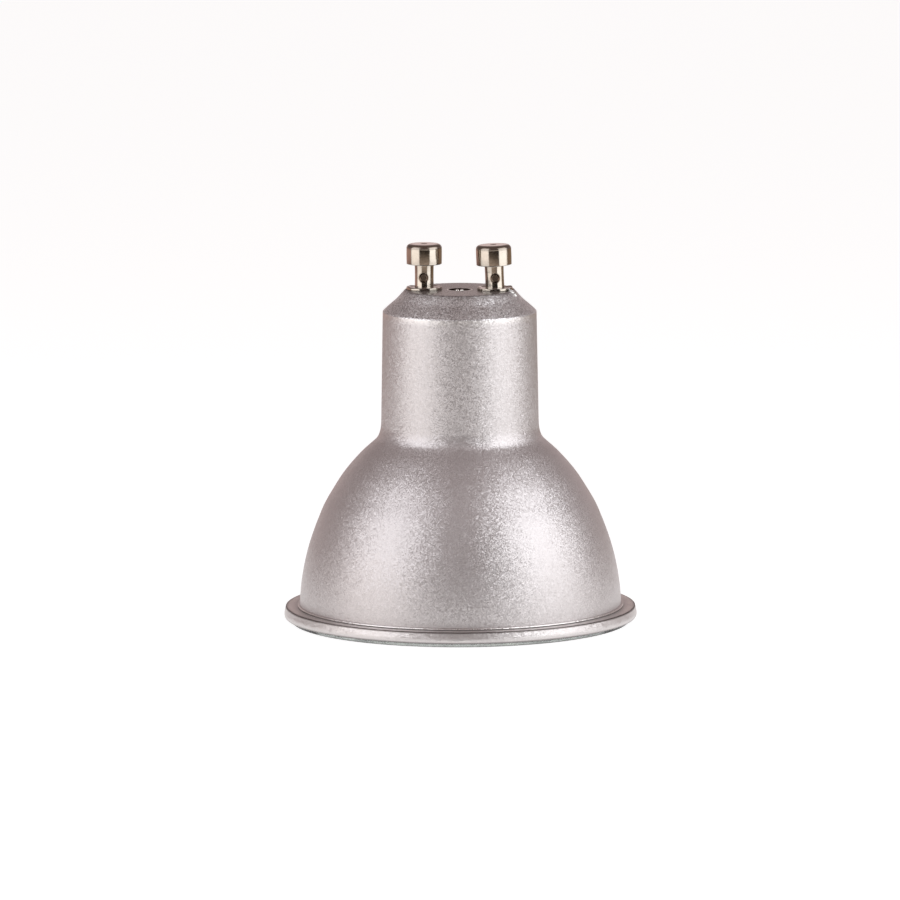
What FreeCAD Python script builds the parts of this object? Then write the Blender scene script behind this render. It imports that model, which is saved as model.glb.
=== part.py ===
import FreeCAD, Part
import math
import os

# A reflector-shaped mains lamp with a two-pin twist cap, standing on its front rim.
# Millimetres. The origin is the middle of the front rim's plane, +Z runs towards the
# pins, and the two pins stand in line along X.

# Flange and the lens rim under it
FLANGE_R = 25.0
FLANGE_T = 1.6
FLANGE_EDGE_R = 0.3
LENS_RIM_R = 24.0
LENS_RIM_T = 0.6
LENS_RIM_EDGE_R = 0.12

# Dome: one arc, with its centre level with the middle of the flange
DOME_BASE_R = 22.8
DOME_ARC_R = 33.4
FOOT_STEP_W = 0.18
FOOT_STEP_H = 0.25
SHELL_WALL = 1.5

# Neck, drafted, with a chamfered top
HOUSING_H = 47.2
NECK_TOP_R = 10.86
NECK_DRAFT_DEG = 1.0
NECK_FILLET_R = 2.5
NECK_CORNER_R = 0.5
CHAMFER_H = 2.9

# Lip of the neck and the cap disc that lies in it
CAP_SEAM = 0.06
CAP_LAND_W = 0.12
CAP_RIM_T = 1.0
CAP_EDGE_R = 0.15
CAP_SHOULDER_W = 0.75
LIP_T = 1.2
KEY_W = 2.4
KEY_H = 0.4
FIT = 0.1

# Contact pins: head, stem with crimps, collar and hollow tail
PIN_PITCH = 10.0
PIN_HEAD_R = 2.5
PIN_HEAD_H = 2.87
PIN_HEAD_ROUND = 0.6
PIN_HEAD_BREAK = 0.12
PIN_CENTRE_R = 0.4
PIN_CENTRE_DEPTH = 0.25
PIN_STEM_R = 1.35
PIN_STEM_H = 3.35
PIN_COLLAR_R = 2.55
PIN_COLLAR_T = 0.25
PIN_TAIL_R = 1.2
PIN_TAIL_OUT = 1.0
PIN_BORE_R = 0.65
PIN_BORE_OVER_CRIMP = 1.1
CRIMP_H = 1.5
CRIMP_R = 0.6
CRIMP_DEPTH = 0.35
CRIMP_TURN_LEFT_DEG = 0.0
CRIMP_TURN_RIGHT_DEG = 9.0

# Screw that clamps the cap and the driver sleeve on the lip
SCREW_RECESS_R = 1.52
SCREW_SEAT_T = 0.6
SCREW_HEAD_H = 0.9
SCREW_CROWN = 0.25
SCREW_SHANK_R = 0.9
SCREW_SHANK_L = 5.2
SCREW_BITE = 0.02
CROSS_W = 0.35
CROSS_REACH = 0.8
CROSS_DEPTH = 0.45

# Driver sleeve in the neck
SLEEVE_WALL = 0.9
SLEEVE_TOP_T = 1.2
SLEEVE_OVER_PLATE = 3.0
BOSS_R = 2.3
BOSS_H = 4.5
RIB_T = 1.0
RIB_DEPTH = 1.2

# Driver board and what stands on it
BOARD_T = 1.0
BOARD_FACE_Y = 1.4
BOARD_LEAD_ROOM = 2.8
PART_GAP = 0.4
SMALL_CAN_R = 2.6
CAN_EDGE_R = 0.4
DRUM_FLANGE_T = 1.2
DRUM_POST_R = 1.6
WINDING_INSET = 0.4
FUSE_R = 1.1
FUSE_X = 3.6
FUSE_LEG_R = 0.3
FUSE_LEG_OUT = 0.7
FUSE_STANDOFF = 0.5
CHIP_STANDOFF = 0.15
CHIP_T = 1.4
CHIP_W = 3.9
CHIP_INSET = 0.93
CHIP_LEG_OUT = 0.9
CHIP_LEG_SHARE = 0.35
CHIP_LEG_T = 0.2
BRIDGE_LEGS_A_SIDE = 2
DRIVER_LEGS_A_SIDE = 4
RESISTOR_COUNT = 4
RESISTOR_L = 1.6
RESISTOR_W = 0.8
RESISTOR_T = 0.45

# Leads
MAINS_LEAD_R = 0.5
MAINS_LEAD_IN_PIN = 2.5
LED_LEAD_R = 0.55
LED_LEAD_X = 5.0
LEAD_EDGE = 1.3
LEAD_BEND_R = 0.85
LED_LEAD_BEND_R = 1.6
LEAD_WALL_GAP = 0.6
SOLDER_R = 1.0
SOLDER_T = 0.4

# Lens: window, snap legs and one light funnel for each LED
LENS_RECESS = 0.4
LENS_T = 1.6
LENS_BORDER_W = 3.6
LENS_BORE_H = 4.0
LENS_FIT = 0.08
SKIRT_WALL = 1.0
SKIRT_H = 1.0
LEG_COUNT = 3
LEG_DEG = 24.0
GROOVE_DEPTH = 0.4
GROOVE_H = 1.0
GROOVE_UP = 2.6
OPTIC_H = 12.6
OPTIC_TOP_R = 2.9
OPTIC_BULGE = 0.55
OPTIC_GAP = 0.3
WELL_R = 2.3
WELL_FLOOR_R = 1.9
WELL_DEPTH = 5.5
WELL_CROWN = 0.8

# LED board, its pad, the plate that carries them and their screws
LED_COUNT_RING = 6
LED_W = 3.5
LED_L = 2.8
LED_H = 0.7
LED_MARGIN = 2.6
LED_BOARD_T = 1.0
LED_BOARD_GAP = 0.5
PAD_T = 0.2
PAD_INSET = 0.6
PLATE_T = 1.6
PLATE_FIT = 0.03
PLATE_EDGE = 0.3
LEDGE_W = 1.2
SEAT_LEAD_IN = 0.4
BOARD_SCREW_R = 0.95
BOARD_SCREW_HEAD_R = 1.8
BOARD_SCREW_HEAD_H = 1.2
BOARD_SCREW_OUT = 0.6
BOARD_SCREW_COUNT = 3
BOARD_SCREW_FIRST_DEG = 90.0

V = FreeCAD.Vector
UP = V(0, 0, 1)
CUT_OVER = 1.0

# Heights, from the front rim up
flange_z0 = LENS_RIM_T
flange_z1 = flange_z0 + FLANGE_T
lens_back_z = LENS_RECESS + LENS_T
optic_top_z = lens_back_z + OPTIC_H
led_face_z = optic_top_z + OPTIC_GAP + LED_H
led_board_z1 = led_face_z + LED_BOARD_T
plate_z0 = led_board_z1 + PAD_T
plate_z1 = plate_z0 + PLATE_T
neck_corner_z = HOUSING_H - CHAMFER_H
cap_rim_z = HOUSING_H - CAP_RIM_T
lip_z = cap_rim_z - LIP_T
cap_bottom_z = lip_z + FIT
screw_seat_z = cap_bottom_z + SCREW_SEAT_T
sleeve_room_z = lip_z - SLEEVE_TOP_T
sleeve_bottom_z = plate_z1 + SLEEVE_OVER_PLATE
boss_bottom_z = sleeve_room_z - BOSS_H
board_z1 = boss_bottom_z - PART_GAP
board_z0 = sleeve_bottom_z
collar_top_z = HOUSING_H + PIN_COLLAR_T
crimp_z = collar_top_z + CRIMP_H
head_z = collar_top_z + PIN_STEM_H
pin_tail_z = sleeve_room_z - PIN_TAIL_OUT

# Radii in the cap
cap_r = PIN_PITCH / 2 + PIN_COLLAR_R
land_r = cap_r + CAP_SEAM + CAP_LAND_W
spigot_r = cap_r - CAP_SHOULDER_W
lip_r = spigot_r + FIT

# Insets from the housing's outer face
sleeve_inset = SHELL_WALL + FIT
room_inset = sleeve_inset + SLEEVE_WALL


def at(r, z):
    """Point of a section, at radius r and height z."""
    return V(r, 0, z)


def line(a, b):
    return Part.LineSegment(a, b).toShape()


def rounded(before, corner, after, radius):
    """Start, middle and end of the arc that rounds a corner between two straight runs."""
    u = (before - corner).normalize()
    v = (after - corner).normalize()
    half = u.getAngle(v) / 2
    reach = radius / math.tan(half)
    sink = radius / math.sin(half) - radius
    middle = corner + (u + v).normalize() * sink
    return corner + u * reach, middle, corner + v * reach


def crown(edge, pole_z):
    """Middle and end of a round crown, from its edge to its pole on the axis."""
    rise = pole_z - edge.z
    radius = (edge.x ** 2 + rise ** 2) / (2 * rise)
    centre = at(0, pole_z - radius)
    pole = at(0, pole_z)
    way = ((edge - centre) + (pole - centre)).normalize()
    return centre + way * abs(radius), pole


def outline(*steps):
    """Closed face through the steps. A step is a point, or the middle and end of an arc."""
    edges = []
    here = steps[0]
    for step in steps[1:] + (steps[0],):
        if isinstance(step, tuple):
            edges.append(Part.Arc(here, step[0], step[1]).toShape())
            here = step[1]
        else:
            edges.append(line(here, step))
            here = step
    return Part.Face(Part.Wire(edges))


def turned(face, degrees=360):
    return face.revolve(V(0, 0, 0), UP, degrees)


def rod(radius, z0, z1, place=V(0, 0, 0)):
    return Part.makeCylinder(radius, z1 - z0, V(place.x, place.y, z0), UP)


def block(x0, x1, y0, y1, z0, z1):
    return Part.makeBox(x1 - x0, y1 - y0, z1 - z0, V(x0, y0, z0))


def around(radius, degrees):
    angle = math.radians(degrees)
    return V(radius * math.cos(angle), radius * math.sin(angle), 0)


def tube(points, radius, bend_r):
    """Round bar along straight runs joined by tangent arcs."""
    edges = []
    here = points[0]
    for before, corner, after in zip(points, points[1:], points[2:]):
        start, middle, end = rounded(before, corner, after, bend_r)
        edges.append(line(here, start))
        edges.append(Part.Arc(start, middle, end).toShape())
        here = end
    edges.append(line(here, points[-1]))
    ring = Part.Wire(Part.makeCircle(radius, points[0], points[1] - points[0]))
    return Part.Wire(edges).makePipeShell([ring], True, True)


# The outer face of the housing, and the same face set in by a wall

dome_centre = at(DOME_BASE_R - DOME_ARC_R, (flange_z0 + flange_z1) / 2)
neck_corner = at(NECK_TOP_R, neck_corner_z)
land_corner = at(land_r, HOUSING_H)
neck_out = at(math.cos(math.radians(NECK_DRAFT_DEG)), math.sin(math.radians(NECK_DRAFT_DEG)))
neck_up = at(-neck_out.z, neck_out.x)
chamfer_up = (land_corner - neck_corner).normalize()
chamfer_out = at(chamfer_up.z, -chamfer_up.x)


def fillet_centre():
    """Centre of the hollow fillet that touches both the drafted neck and the dome's arc."""
    off_line = neck_out.dot(neck_corner - dome_centre) + NECK_FILLET_R
    rise = math.sqrt((DOME_ARC_R + NECK_FILLET_R) ** 2 - off_line ** 2)
    return dome_centre + neck_out * off_line + neck_up * rise


def shoulder(inset):
    """End of the neck, middle of the fillet and start of the dome, set in by inset."""
    centre = fillet_centre()
    to_neck = neck_out * -1
    to_dome = (dome_centre - centre).normalize()
    radius = NECK_FILLET_R + inset
    middle = centre + (to_neck + to_dome).normalize() * radius
    return centre + to_neck * radius, middle, centre + to_dome * radius


def dome_radius(z, inset):
    rise = z - dome_centre.z
    return dome_centre.x + math.sqrt((DOME_ARC_R - inset) ** 2 - rise ** 2)


def dome_point(r, inset):
    out = r - dome_centre.x
    return at(r, dome_centre.z + math.sqrt((DOME_ARC_R - inset) ** 2 - out ** 2))


def dome_middle(a, b, inset):
    """Middle of the dome's arc between two of its points."""
    way = (a - dome_centre) + (b - dome_centre)
    return dome_centre + way.normalize() * (DOME_ARC_R - inset)


def neck_radius(z, inset):
    along = (neck_corner_z - z) * math.tan(math.radians(NECK_DRAFT_DEG))
    return NECK_TOP_R + along - inset / neck_out.x


def neck_top_corner(inset):
    """Corner between neck and chamfer, with both faces set in by inset."""
    share = inset / (1 + neck_out.dot(chamfer_out))
    return neck_corner - (neck_out + chamfer_out) * share


def chamfer_point(z, inset):
    corner = neck_top_corner(inset)
    return corner + chamfer_up * ((z - corner.z) / chamfer_up.z)


def neck_room(inset, z0, z1):
    """Solid that fills the neck between two heights, set in from its outer face."""
    low = at(neck_radius(z0, inset), z0)
    tip = chamfer_point(HOUSING_H, inset)
    whole = turned(outline(at(0, z0), low, neck_top_corner(inset), tip, at(0, HOUSING_H)))
    return whole.common(rod(FLANGE_R, z0, z1))


# Sizes that the pieces share

lens_bore_z = flange_z0 + LENS_BORE_H
lens_bore_r = dome_radius(lens_bore_z, SHELL_WALL)
groove_z0 = flange_z0 + GROOVE_UP
groove_z1 = groove_z0 + GROOVE_H
seat_r = dome_radius(plate_z1, SHELL_WALL)
plate_r = seat_r - PLATE_FIT
led_board_r = seat_r - LED_BOARD_GAP
led_ring_r = led_board_r - LED_MARGIN
skirt_out_r = lens_bore_r - LENS_FIT
skirt_in_r = skirt_out_r - SKIRT_WALL
optic_mouth_r = min((led_ring_r - OPTIC_GAP) / 2, skirt_in_r - OPTIC_GAP - led_ring_r)
screw_circle_r = led_ring_r / math.sqrt(3)
board_back_y = BOARD_FACE_Y + BOARD_T
room_r = neck_radius(board_z1, room_inset) - FIT
board_half_w = math.sqrt(room_r ** 2 - board_back_y ** 2)
row_h = (board_z1 - board_z0 - BOARD_LEAD_ROOM - 2 * PART_GAP) / 2
lower_row_z = board_z0 + PART_GAP
upper_row_z = lower_row_z + row_h + PART_GAP
chip_l = row_h - 2 * CHIP_INSET
led_lead_y = math.sqrt((room_r - LEAD_WALL_GAP - LED_LEAD_R) ** 2 - LED_LEAD_X ** 2)


def can_radius():
    """Largest of two round cans side by side between the board and the sleeve's wall.

    The can touches, with a gap, the board's face, its twin and the round wall, which
    gives one quadratic equation for its radius.
    """
    face = BOARD_FACE_Y - FIT
    side = PART_GAP / 2
    b = 2 * (side - face + room_r - FIT)
    c = side ** 2 + face ** 2 - (room_r - FIT) ** 2
    return (-b + math.sqrt(b * b - 4 * c)) / 2


can_r = can_radius()


def led_places():
    ring = [around(led_ring_r, 360 / LED_COUNT_RING * k) for k in range(LED_COUNT_RING)]
    return [V(0, 0, 0)] + ring


def board_screw_places():
    step_deg = 360 / BOARD_SCREW_COUNT
    return [around(screw_circle_r, BOARD_SCREW_FIRST_DEG + step_deg * k) for k in range(BOARD_SCREW_COUNT)]


def led_lead_places():
    return [V(LED_LEAD_X * side, led_lead_y, 0) for side in (-1, 1)]


def pin_places():
    return [V(PIN_PITCH / 2 * side, 0, 0) for side in (-1, 1)]


def drilled(shape, places, radius, z0, z1):
    for place in places:
        shape = shape.cut(rod(radius, z0 - CUT_OVER, z1 + CUT_OVER, place))
    return shape


def housing():
    """One casting: drafted neck, chamfer, dome, foot step and flange, with its seats inside."""
    neck_end, fillet_mid, dome_start = shoulder(0)
    foot_z = flange_z1 + FOOT_STEP_H
    dome_end = at(dome_radius(foot_z, 0), foot_z)
    step_r = dome_end.x + FOOT_STEP_W
    low_edge = rounded(at(0, flange_z0), at(FLANGE_R, flange_z0), at(FLANGE_R, flange_z1), FLANGE_EDGE_R)
    top_edge = rounded(at(FLANGE_R, flange_z0), at(FLANGE_R, flange_z1), at(0, flange_z1), FLANGE_EDGE_R)
    corner = rounded(neck_end, neck_corner, land_corner, NECK_CORNER_R)

    in_neck, in_mid, in_dome = shoulder(SHELL_WALL)
    bore_top = at(lens_bore_r, lens_bore_z)
    seat_foot = at(dome_radius(plate_z0 - SEAT_LEAD_IN, SHELL_WALL), plate_z0 - SEAT_LEAD_IN)
    ledge_r = seat_r - LEDGE_W
    ledge_top = dome_point(ledge_r, SHELL_WALL)
    groove_r = lens_bore_r + GROOVE_DEPTH
    counterbore_r = cap_r + CAP_SEAM

    shell = turned(outline(
        at(lens_bore_r, flange_z0),
        low_edge[0], (low_edge[1], low_edge[2]),
        top_edge[0], (top_edge[1], top_edge[2]),
        at(step_r, flange_z1), at(step_r, foot_z), dome_end,
        (dome_middle(dome_end, dome_start, 0), dome_start),
        (fillet_mid, neck_end),
        corner[0], (corner[1], corner[2]), land_corner,
        at(counterbore_r, HOUSING_H), at(counterbore_r, cap_rim_z), at(lip_r, cap_rim_z),
        at(lip_r, lip_z), chamfer_point(lip_z, SHELL_WALL), neck_top_corner(SHELL_WALL),
        in_neck, (in_mid, in_dome),
        (dome_middle(in_dome, ledge_top, SHELL_WALL), ledge_top),
        at(ledge_r, plate_z1), at(seat_r, plate_z1), at(seat_r, seat_foot.z), seat_foot,
        (dome_middle(seat_foot, bore_top, SHELL_WALL), bore_top),
        at(lens_bore_r, groove_z1), at(groove_r, groove_z1),
        at(groove_r, groove_z0), at(lens_bore_r, groove_z0),
    ))
    reach = lip_r + KEY_H
    half = KEY_W / 2 + FIT
    return shell.cut(block(-half, half, -reach, reach, lip_z - CUT_OVER, cap_rim_z))


def base_cap():
    """Plastic disc in the lip, with a spigot and two keys that stop it turning."""
    edge = rounded(at(cap_r, cap_rim_z), at(cap_r, HOUSING_H), at(0, HOUSING_H), CAP_EDGE_R)
    hole_r = SCREW_SHANK_R + FIT
    disc = turned(outline(
        at(hole_r, cap_bottom_z), at(spigot_r, cap_bottom_z), at(spigot_r, cap_rim_z),
        at(cap_r, cap_rim_z), edge[0], (edge[1], edge[2]),
        at(SCREW_RECESS_R, HOUSING_H), at(SCREW_RECESS_R, screw_seat_z), at(hole_r, screw_seat_z),
    ))
    reach = spigot_r + KEY_H
    for side in (-1, 1):
        y0, y1 = sorted((side * reach, side * (spigot_r - KEY_H)))
        disc = disc.fuse(block(-KEY_W / 2, KEY_W / 2, y0, y1, cap_bottom_z, cap_rim_z))
    disc = disc.removeSplitter()
    return drilled(disc, pin_places(), PIN_TAIL_R + FIT, cap_bottom_z, HOUSING_H)


def contact_pin(place, crimp_turn_deg):
    """Turned pin: hollow tail, collar, crimped stem and a rounded head with a centre mark."""
    top = head_z + PIN_HEAD_H
    edge = rounded(at(PIN_HEAD_R, head_z), at(PIN_HEAD_R, top), at(0, top), PIN_HEAD_ROUND)
    mark_edge = at(PIN_CENTRE_R, top)
    bore_top = crimp_z + PIN_BORE_OVER_CRIMP
    body = turned(outline(
        at(PIN_HEAD_R, head_z + PIN_HEAD_BREAK), edge[0], (edge[1], edge[2]),
        mark_edge, crown(mark_edge, top - PIN_CENTRE_DEPTH),
        at(0, bore_top), at(PIN_BORE_R, bore_top),
        at(PIN_BORE_R, pin_tail_z), at(PIN_TAIL_R, pin_tail_z), at(PIN_TAIL_R, HOUSING_H),
        at(PIN_COLLAR_R, HOUSING_H), at(PIN_COLLAR_R, collar_top_z), at(PIN_STEM_R, collar_top_z),
        at(PIN_STEM_R, head_z), at(PIN_HEAD_R - PIN_HEAD_BREAK, head_z),
    ))
    for side_deg in (-90, 90):
        way = around(1, side_deg + crimp_turn_deg)
        floor = way * (PIN_STEM_R - CRIMP_DEPTH) + UP * crimp_z
        body = body.cut(Part.makeCylinder(CRIMP_R, CRIMP_DEPTH + CUT_OVER, floor, way))
    body.translate(place)
    return body


def screw(head_r, head_h, shank_r, shank_l):
    """Pan-head screw with a cross recess. Its seat is at z = 0 and its head points up."""
    rim = at(head_r, head_h - SCREW_CROWN)
    body = turned(outline(
        at(0, -shank_l), at(shank_r, -shank_l), at(shank_r, 0), at(head_r, 0),
        rim, crown(rim, head_h),
    ))
    half = CROSS_W / 2
    floor = head_h - CROSS_DEPTH
    body = body.cut(block(-half, half, -CROSS_REACH, CROSS_REACH, floor, head_h + CUT_OVER))
    return body.cut(block(-CROSS_REACH, CROSS_REACH, -half, half, floor, head_h + CUT_OVER))


def base_screw():
    part = screw(SCREW_RECESS_R - FIT, SCREW_HEAD_H, SCREW_SHANK_R, SCREW_SHANK_L)
    part.translate(UP * screw_seat_z)
    return part


def driver_sleeve():
    """Liner of the neck: closed top with a screw boss, and grooved ribs for the board."""
    shell = neck_room(sleeve_inset, sleeve_bottom_z, lip_z)
    shell = shell.cut(neck_room(room_inset, sleeve_bottom_z - CUT_OVER, sleeve_room_z))
    shell = shell.fuse(rod(BOSS_R, boss_bottom_z, sleeve_room_z + SLEEVE_TOP_T / 2))

    rib_y0 = BOARD_FACE_Y - FIT - RIB_T
    rib_y1 = board_back_y + FIT + RIB_T
    in_wall = neck_room(sleeve_inset + SLEEVE_WALL / 2, sleeve_bottom_z, board_z1 + RIB_T)
    for side in (-1, 1):
        x0, x1 = sorted((side * (board_half_w - RIB_DEPTH), side * NECK_TOP_R))
        rib = block(x0, x1, rib_y0, rib_y1, sleeve_bottom_z, board_z1 + RIB_T)
        shell = shell.fuse(rib.common(in_wall))
    reach = board_half_w + FIT
    groove_y = (BOARD_FACE_Y - FIT, board_back_y + FIT)
    shell = shell.cut(block(-reach, reach, *groove_y, sleeve_bottom_z - CUT_OVER, board_z1))

    pilot_r = SCREW_SHANK_R + SCREW_BITE
    shell = shell.cut(rod(pilot_r, boss_bottom_z - CUT_OVER, lip_z + CUT_OVER))
    return drilled(shell, pin_places(), PIN_TAIL_R + FIT, sleeve_room_z, lip_z)


def driver_board():
    return block(-board_half_w, board_half_w, BOARD_FACE_Y, board_back_y, board_z0, board_z1)


def can(radius, z0, height):
    """Round capacitor can with rounded ends, lying against the board on the left."""
    z1 = z0 + height
    low = rounded(at(0, z0), at(radius, z0), at(radius, z1), CAN_EDGE_R)
    high = rounded(at(radius, z0), at(radius, z1), at(0, z1), CAN_EDGE_R)
    part = turned(outline(at(0, z0), low[0], (low[1], low[2]), high[0], (high[1], high[2]), at(0, z1)))
    part.translate(V(-(radius + PART_GAP / 2), BOARD_FACE_Y - FIT - radius, 0))
    return part


def drum_place():
    return V(can_r + PART_GAP / 2, BOARD_FACE_Y - FIT - can_r, 0)


def inductor_core():
    """Ferrite drum: two flanges on a post."""
    z0 = lower_row_z
    z1 = z0 + row_h
    part = turned(outline(
        at(0, z0), at(can_r, z0), at(can_r, z0 + DRUM_FLANGE_T), at(DRUM_POST_R, z0 + DRUM_FLANGE_T),
        at(DRUM_POST_R, z1 - DRUM_FLANGE_T), at(can_r, z1 - DRUM_FLANGE_T), at(can_r, z1), at(0, z1),
    ))
    part.translate(drum_place())
    return part


def inductor_winding():
    z0 = lower_row_z + DRUM_FLANGE_T
    z1 = lower_row_z + row_h - DRUM_FLANGE_T
    inner_r = DRUM_POST_R + PLATE_FIT
    outer_r = can_r - WINDING_INSET
    part = rod(outer_r, z0, z1).cut(rod(inner_r, z0 - CUT_OVER, z1 + CUT_OVER))
    part.translate(drum_place())
    return part


def fuse_resistor():
    """Upright resistor that fills the upper row, with a leg bent into the board at each end."""
    y = BOARD_FACE_Y - FUSE_STANDOFF - FUSE_R
    z0 = upper_row_z + FUSE_LEG_OUT + FUSE_LEG_R
    z1 = upper_row_z + row_h - FUSE_LEG_OUT - FUSE_LEG_R
    part = rod(FUSE_R, z0, z1, V(FUSE_X, y, 0))
    for end_z, way in ((z0, -1), (z1, 1)):
        leg_z = end_z + way * FUSE_LEG_OUT
        route = [V(FUSE_X, y, end_z), V(FUSE_X, y, leg_z), V(FUSE_X, BOARD_FACE_Y, leg_z)]
        part = part.fuse(tube(route, FUSE_LEG_R, FUSE_LEG_OUT / 2))
    return part


def leaded_chip(z, legs_a_side):
    """Flat package on the back of the board, with a row of bent legs on each side."""
    body_y0 = board_back_y + CHIP_STANDOFF
    half_w = CHIP_W / 2
    part = block(-half_w, half_w, body_y0, body_y0 + CHIP_T, z - chip_l / 2, z + chip_l / 2)
    leg_y = body_y0 + CHIP_T / 2
    leg_pitch = chip_l / legs_a_side
    leg_w = leg_pitch * CHIP_LEG_SHARE
    for k in range(legs_a_side):
        leg_z = z + (k - (legs_a_side - 1) / 2) * leg_pitch
        z0 = leg_z - leg_w / 2
        z1 = leg_z + leg_w / 2
        out = half_w + CHIP_LEG_OUT
        in_body = half_w - CHIP_LEG_T
        for side in (-1, 1):
            foot = sorted((side * in_body, side * out))
            rise = sorted((side * in_body, side * (half_w + CHIP_LEG_T)))
            part = part.fuse(block(rise[0], rise[1], board_back_y, leg_y, z0, z1))
            part = part.fuse(block(foot[0], foot[1], board_back_y, board_back_y + CHIP_LEG_T, z0, z1))
    return part.removeSplitter()


def bridge_rectifier():
    return leaded_chip(upper_row_z + row_h / 2, BRIDGE_LEGS_A_SIDE)


def driver_chip():
    return leaded_chip(lower_row_z + row_h / 2, DRIVER_LEGS_A_SIDE)


def chip_resistors():
    """Chips in a row across the back of the board, between the two packages."""
    z0 = upper_row_z - PART_GAP / 2 - RESISTOR_W / 2
    parts = []
    for k in range(RESISTOR_COUNT):
        x = (k - (RESISTOR_COUNT - 1) / 2) * (RESISTOR_L + PART_GAP)
        parts.append(block(x - RESISTOR_L / 2, x + RESISTOR_L / 2, board_back_y,
                           board_back_y + RESISTOR_T, z0, z0 + RESISTOR_W))
    return Part.makeCompound(parts)


def mains_lead(place):
    """Lead from inside a hollow pin down to the face of the board."""
    end_z = board_z1 - LEAD_EDGE
    top = V(place.x, place.y, pin_tail_z + MAINS_LEAD_IN_PIN)
    turn = V(place.x, place.y, end_z)
    return tube([top, turn, V(place.x, BOARD_FACE_Y, end_z)], MAINS_LEAD_R, LEAD_BEND_R)


def led_lead(place):
    """Lead from the back of the driver board down through plate and LED board to its joint."""
    start_z = board_z0 + LEAD_EDGE
    start = V(place.x, board_back_y, start_z)
    turn = V(place.x, place.y, start_z)
    lead = tube([start, turn, V(place.x, place.y, led_face_z)], LED_LEAD_R, LED_LEAD_BEND_R)
    return lead.fuse(rod(SOLDER_R, led_face_z - SOLDER_T, led_face_z, place))


def heat_plate():
    """Pressed plate on the ledge, drilled for its screws and the leads."""
    z0, z1 = plate_z0, plate_z1
    plate = turned(outline(
        at(0, z0), at(plate_r - PLATE_EDGE, z0), at(plate_r, z0 + PLATE_EDGE), at(plate_r, z1), at(0, z1),
    ))
    plate = drilled(plate, board_screw_places(), BOARD_SCREW_R + SCREW_BITE, z0, z1)
    return drilled(plate, led_lead_places(), LED_LEAD_R + 2 * FIT, z0, z1)


def thermal_pad():
    pad = rod(led_board_r - PAD_INSET, led_board_z1, plate_z0)
    pad = drilled(pad, board_screw_places(), BOARD_SCREW_R + FIT, led_board_z1, plate_z0)
    return drilled(pad, led_lead_places(), LED_LEAD_R + 2 * FIT, led_board_z1, plate_z0)


def led_board():
    board = rod(led_board_r, led_face_z, led_board_z1)
    board = drilled(board, board_screw_places(), BOARD_SCREW_R + FIT, led_face_z, led_board_z1)
    return drilled(board, led_lead_places(), LED_LEAD_R + 2 * FIT, led_face_z, led_board_z1)


def led_chips():
    parts = []
    for place in led_places():
        parts.append(block(place.x - LED_W / 2, place.x + LED_W / 2, place.y - LED_L / 2,
                           place.y + LED_L / 2, led_face_z - LED_H, led_face_z))
    return Part.makeCompound(parts)


def board_screws():
    shank_l = plate_z1 + BOARD_SCREW_OUT - led_face_z
    parts = []
    for place in board_screw_places():
        part = screw(BOARD_SCREW_HEAD_R, BOARD_SCREW_HEAD_H, BOARD_SCREW_R, shank_l)
        part.rotate(V(0, 0, 0), V(1, 0, 0), 180)
        part.translate(place + UP * led_face_z)
        parts.append(part)
    return Part.makeCompound(parts)


def optic():
    """Light funnel on the lens: flared outside, with a well for its LED at the top."""
    mouth = at(optic_mouth_r, lens_back_z)
    throat = at(OPTIC_TOP_R, optic_top_z)
    slope = (throat - mouth).normalize()
    flare = (mouth + throat) * 0.5 + at(slope.z, -slope.x) * OPTIC_BULGE
    well_floor = at(WELL_FLOOR_R, optic_top_z - WELL_DEPTH)
    root_z = lens_back_z - LENS_T / 2
    return turned(outline(
        at(0, root_z), at(optic_mouth_r, root_z), mouth, (flare, throat), at(WELL_R, optic_top_z),
        well_floor, crown(well_floor, well_floor.z + WELL_CROWN),
    ))


def lens():
    """Clear moulding: border rim, recessed window, skirt, snap legs and light funnels."""
    border_r = LENS_RIM_R - LENS_BORDER_W
    edge = rounded(at(0, 0), at(LENS_RIM_R, 0), at(LENS_RIM_R, flange_z0), LENS_RIM_EDGE_R)
    skirt_z = lens_back_z + SKIRT_H
    part = turned(outline(
        at(0, LENS_RECESS), at(border_r, LENS_RECESS), at(border_r, 0),
        edge[0], (edge[1], edge[2]), at(LENS_RIM_R, flange_z0),
        at(skirt_out_r, flange_z0), at(skirt_out_r, skirt_z), at(skirt_in_r, skirt_z),
        at(skirt_in_r, lens_back_z), at(0, lens_back_z),
    ))
    barb_z = groove_z0 + FIT
    leg_z = groove_z1 - FIT
    barb_r = lens_bore_r + GROOVE_DEPTH - FIT
    leg_face = outline(
        at(skirt_in_r, lens_back_z), at(skirt_out_r, lens_back_z), at(skirt_out_r, barb_z),
        at(barb_r, barb_z), at(skirt_out_r, leg_z), at(skirt_in_r, leg_z),
    )
    for k in range(LEG_COUNT):
        leg = turned(leg_face, LEG_DEG)
        leg.rotate(V(0, 0, 0), UP, 360 / LEG_COUNT * k - LEG_DEG / 2)
        part = part.fuse(leg)
    for place in led_places():
        funnel = optic()
        funnel.translate(place)
        part = part.fuse(funnel)
    return part.removeSplitter()


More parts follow.
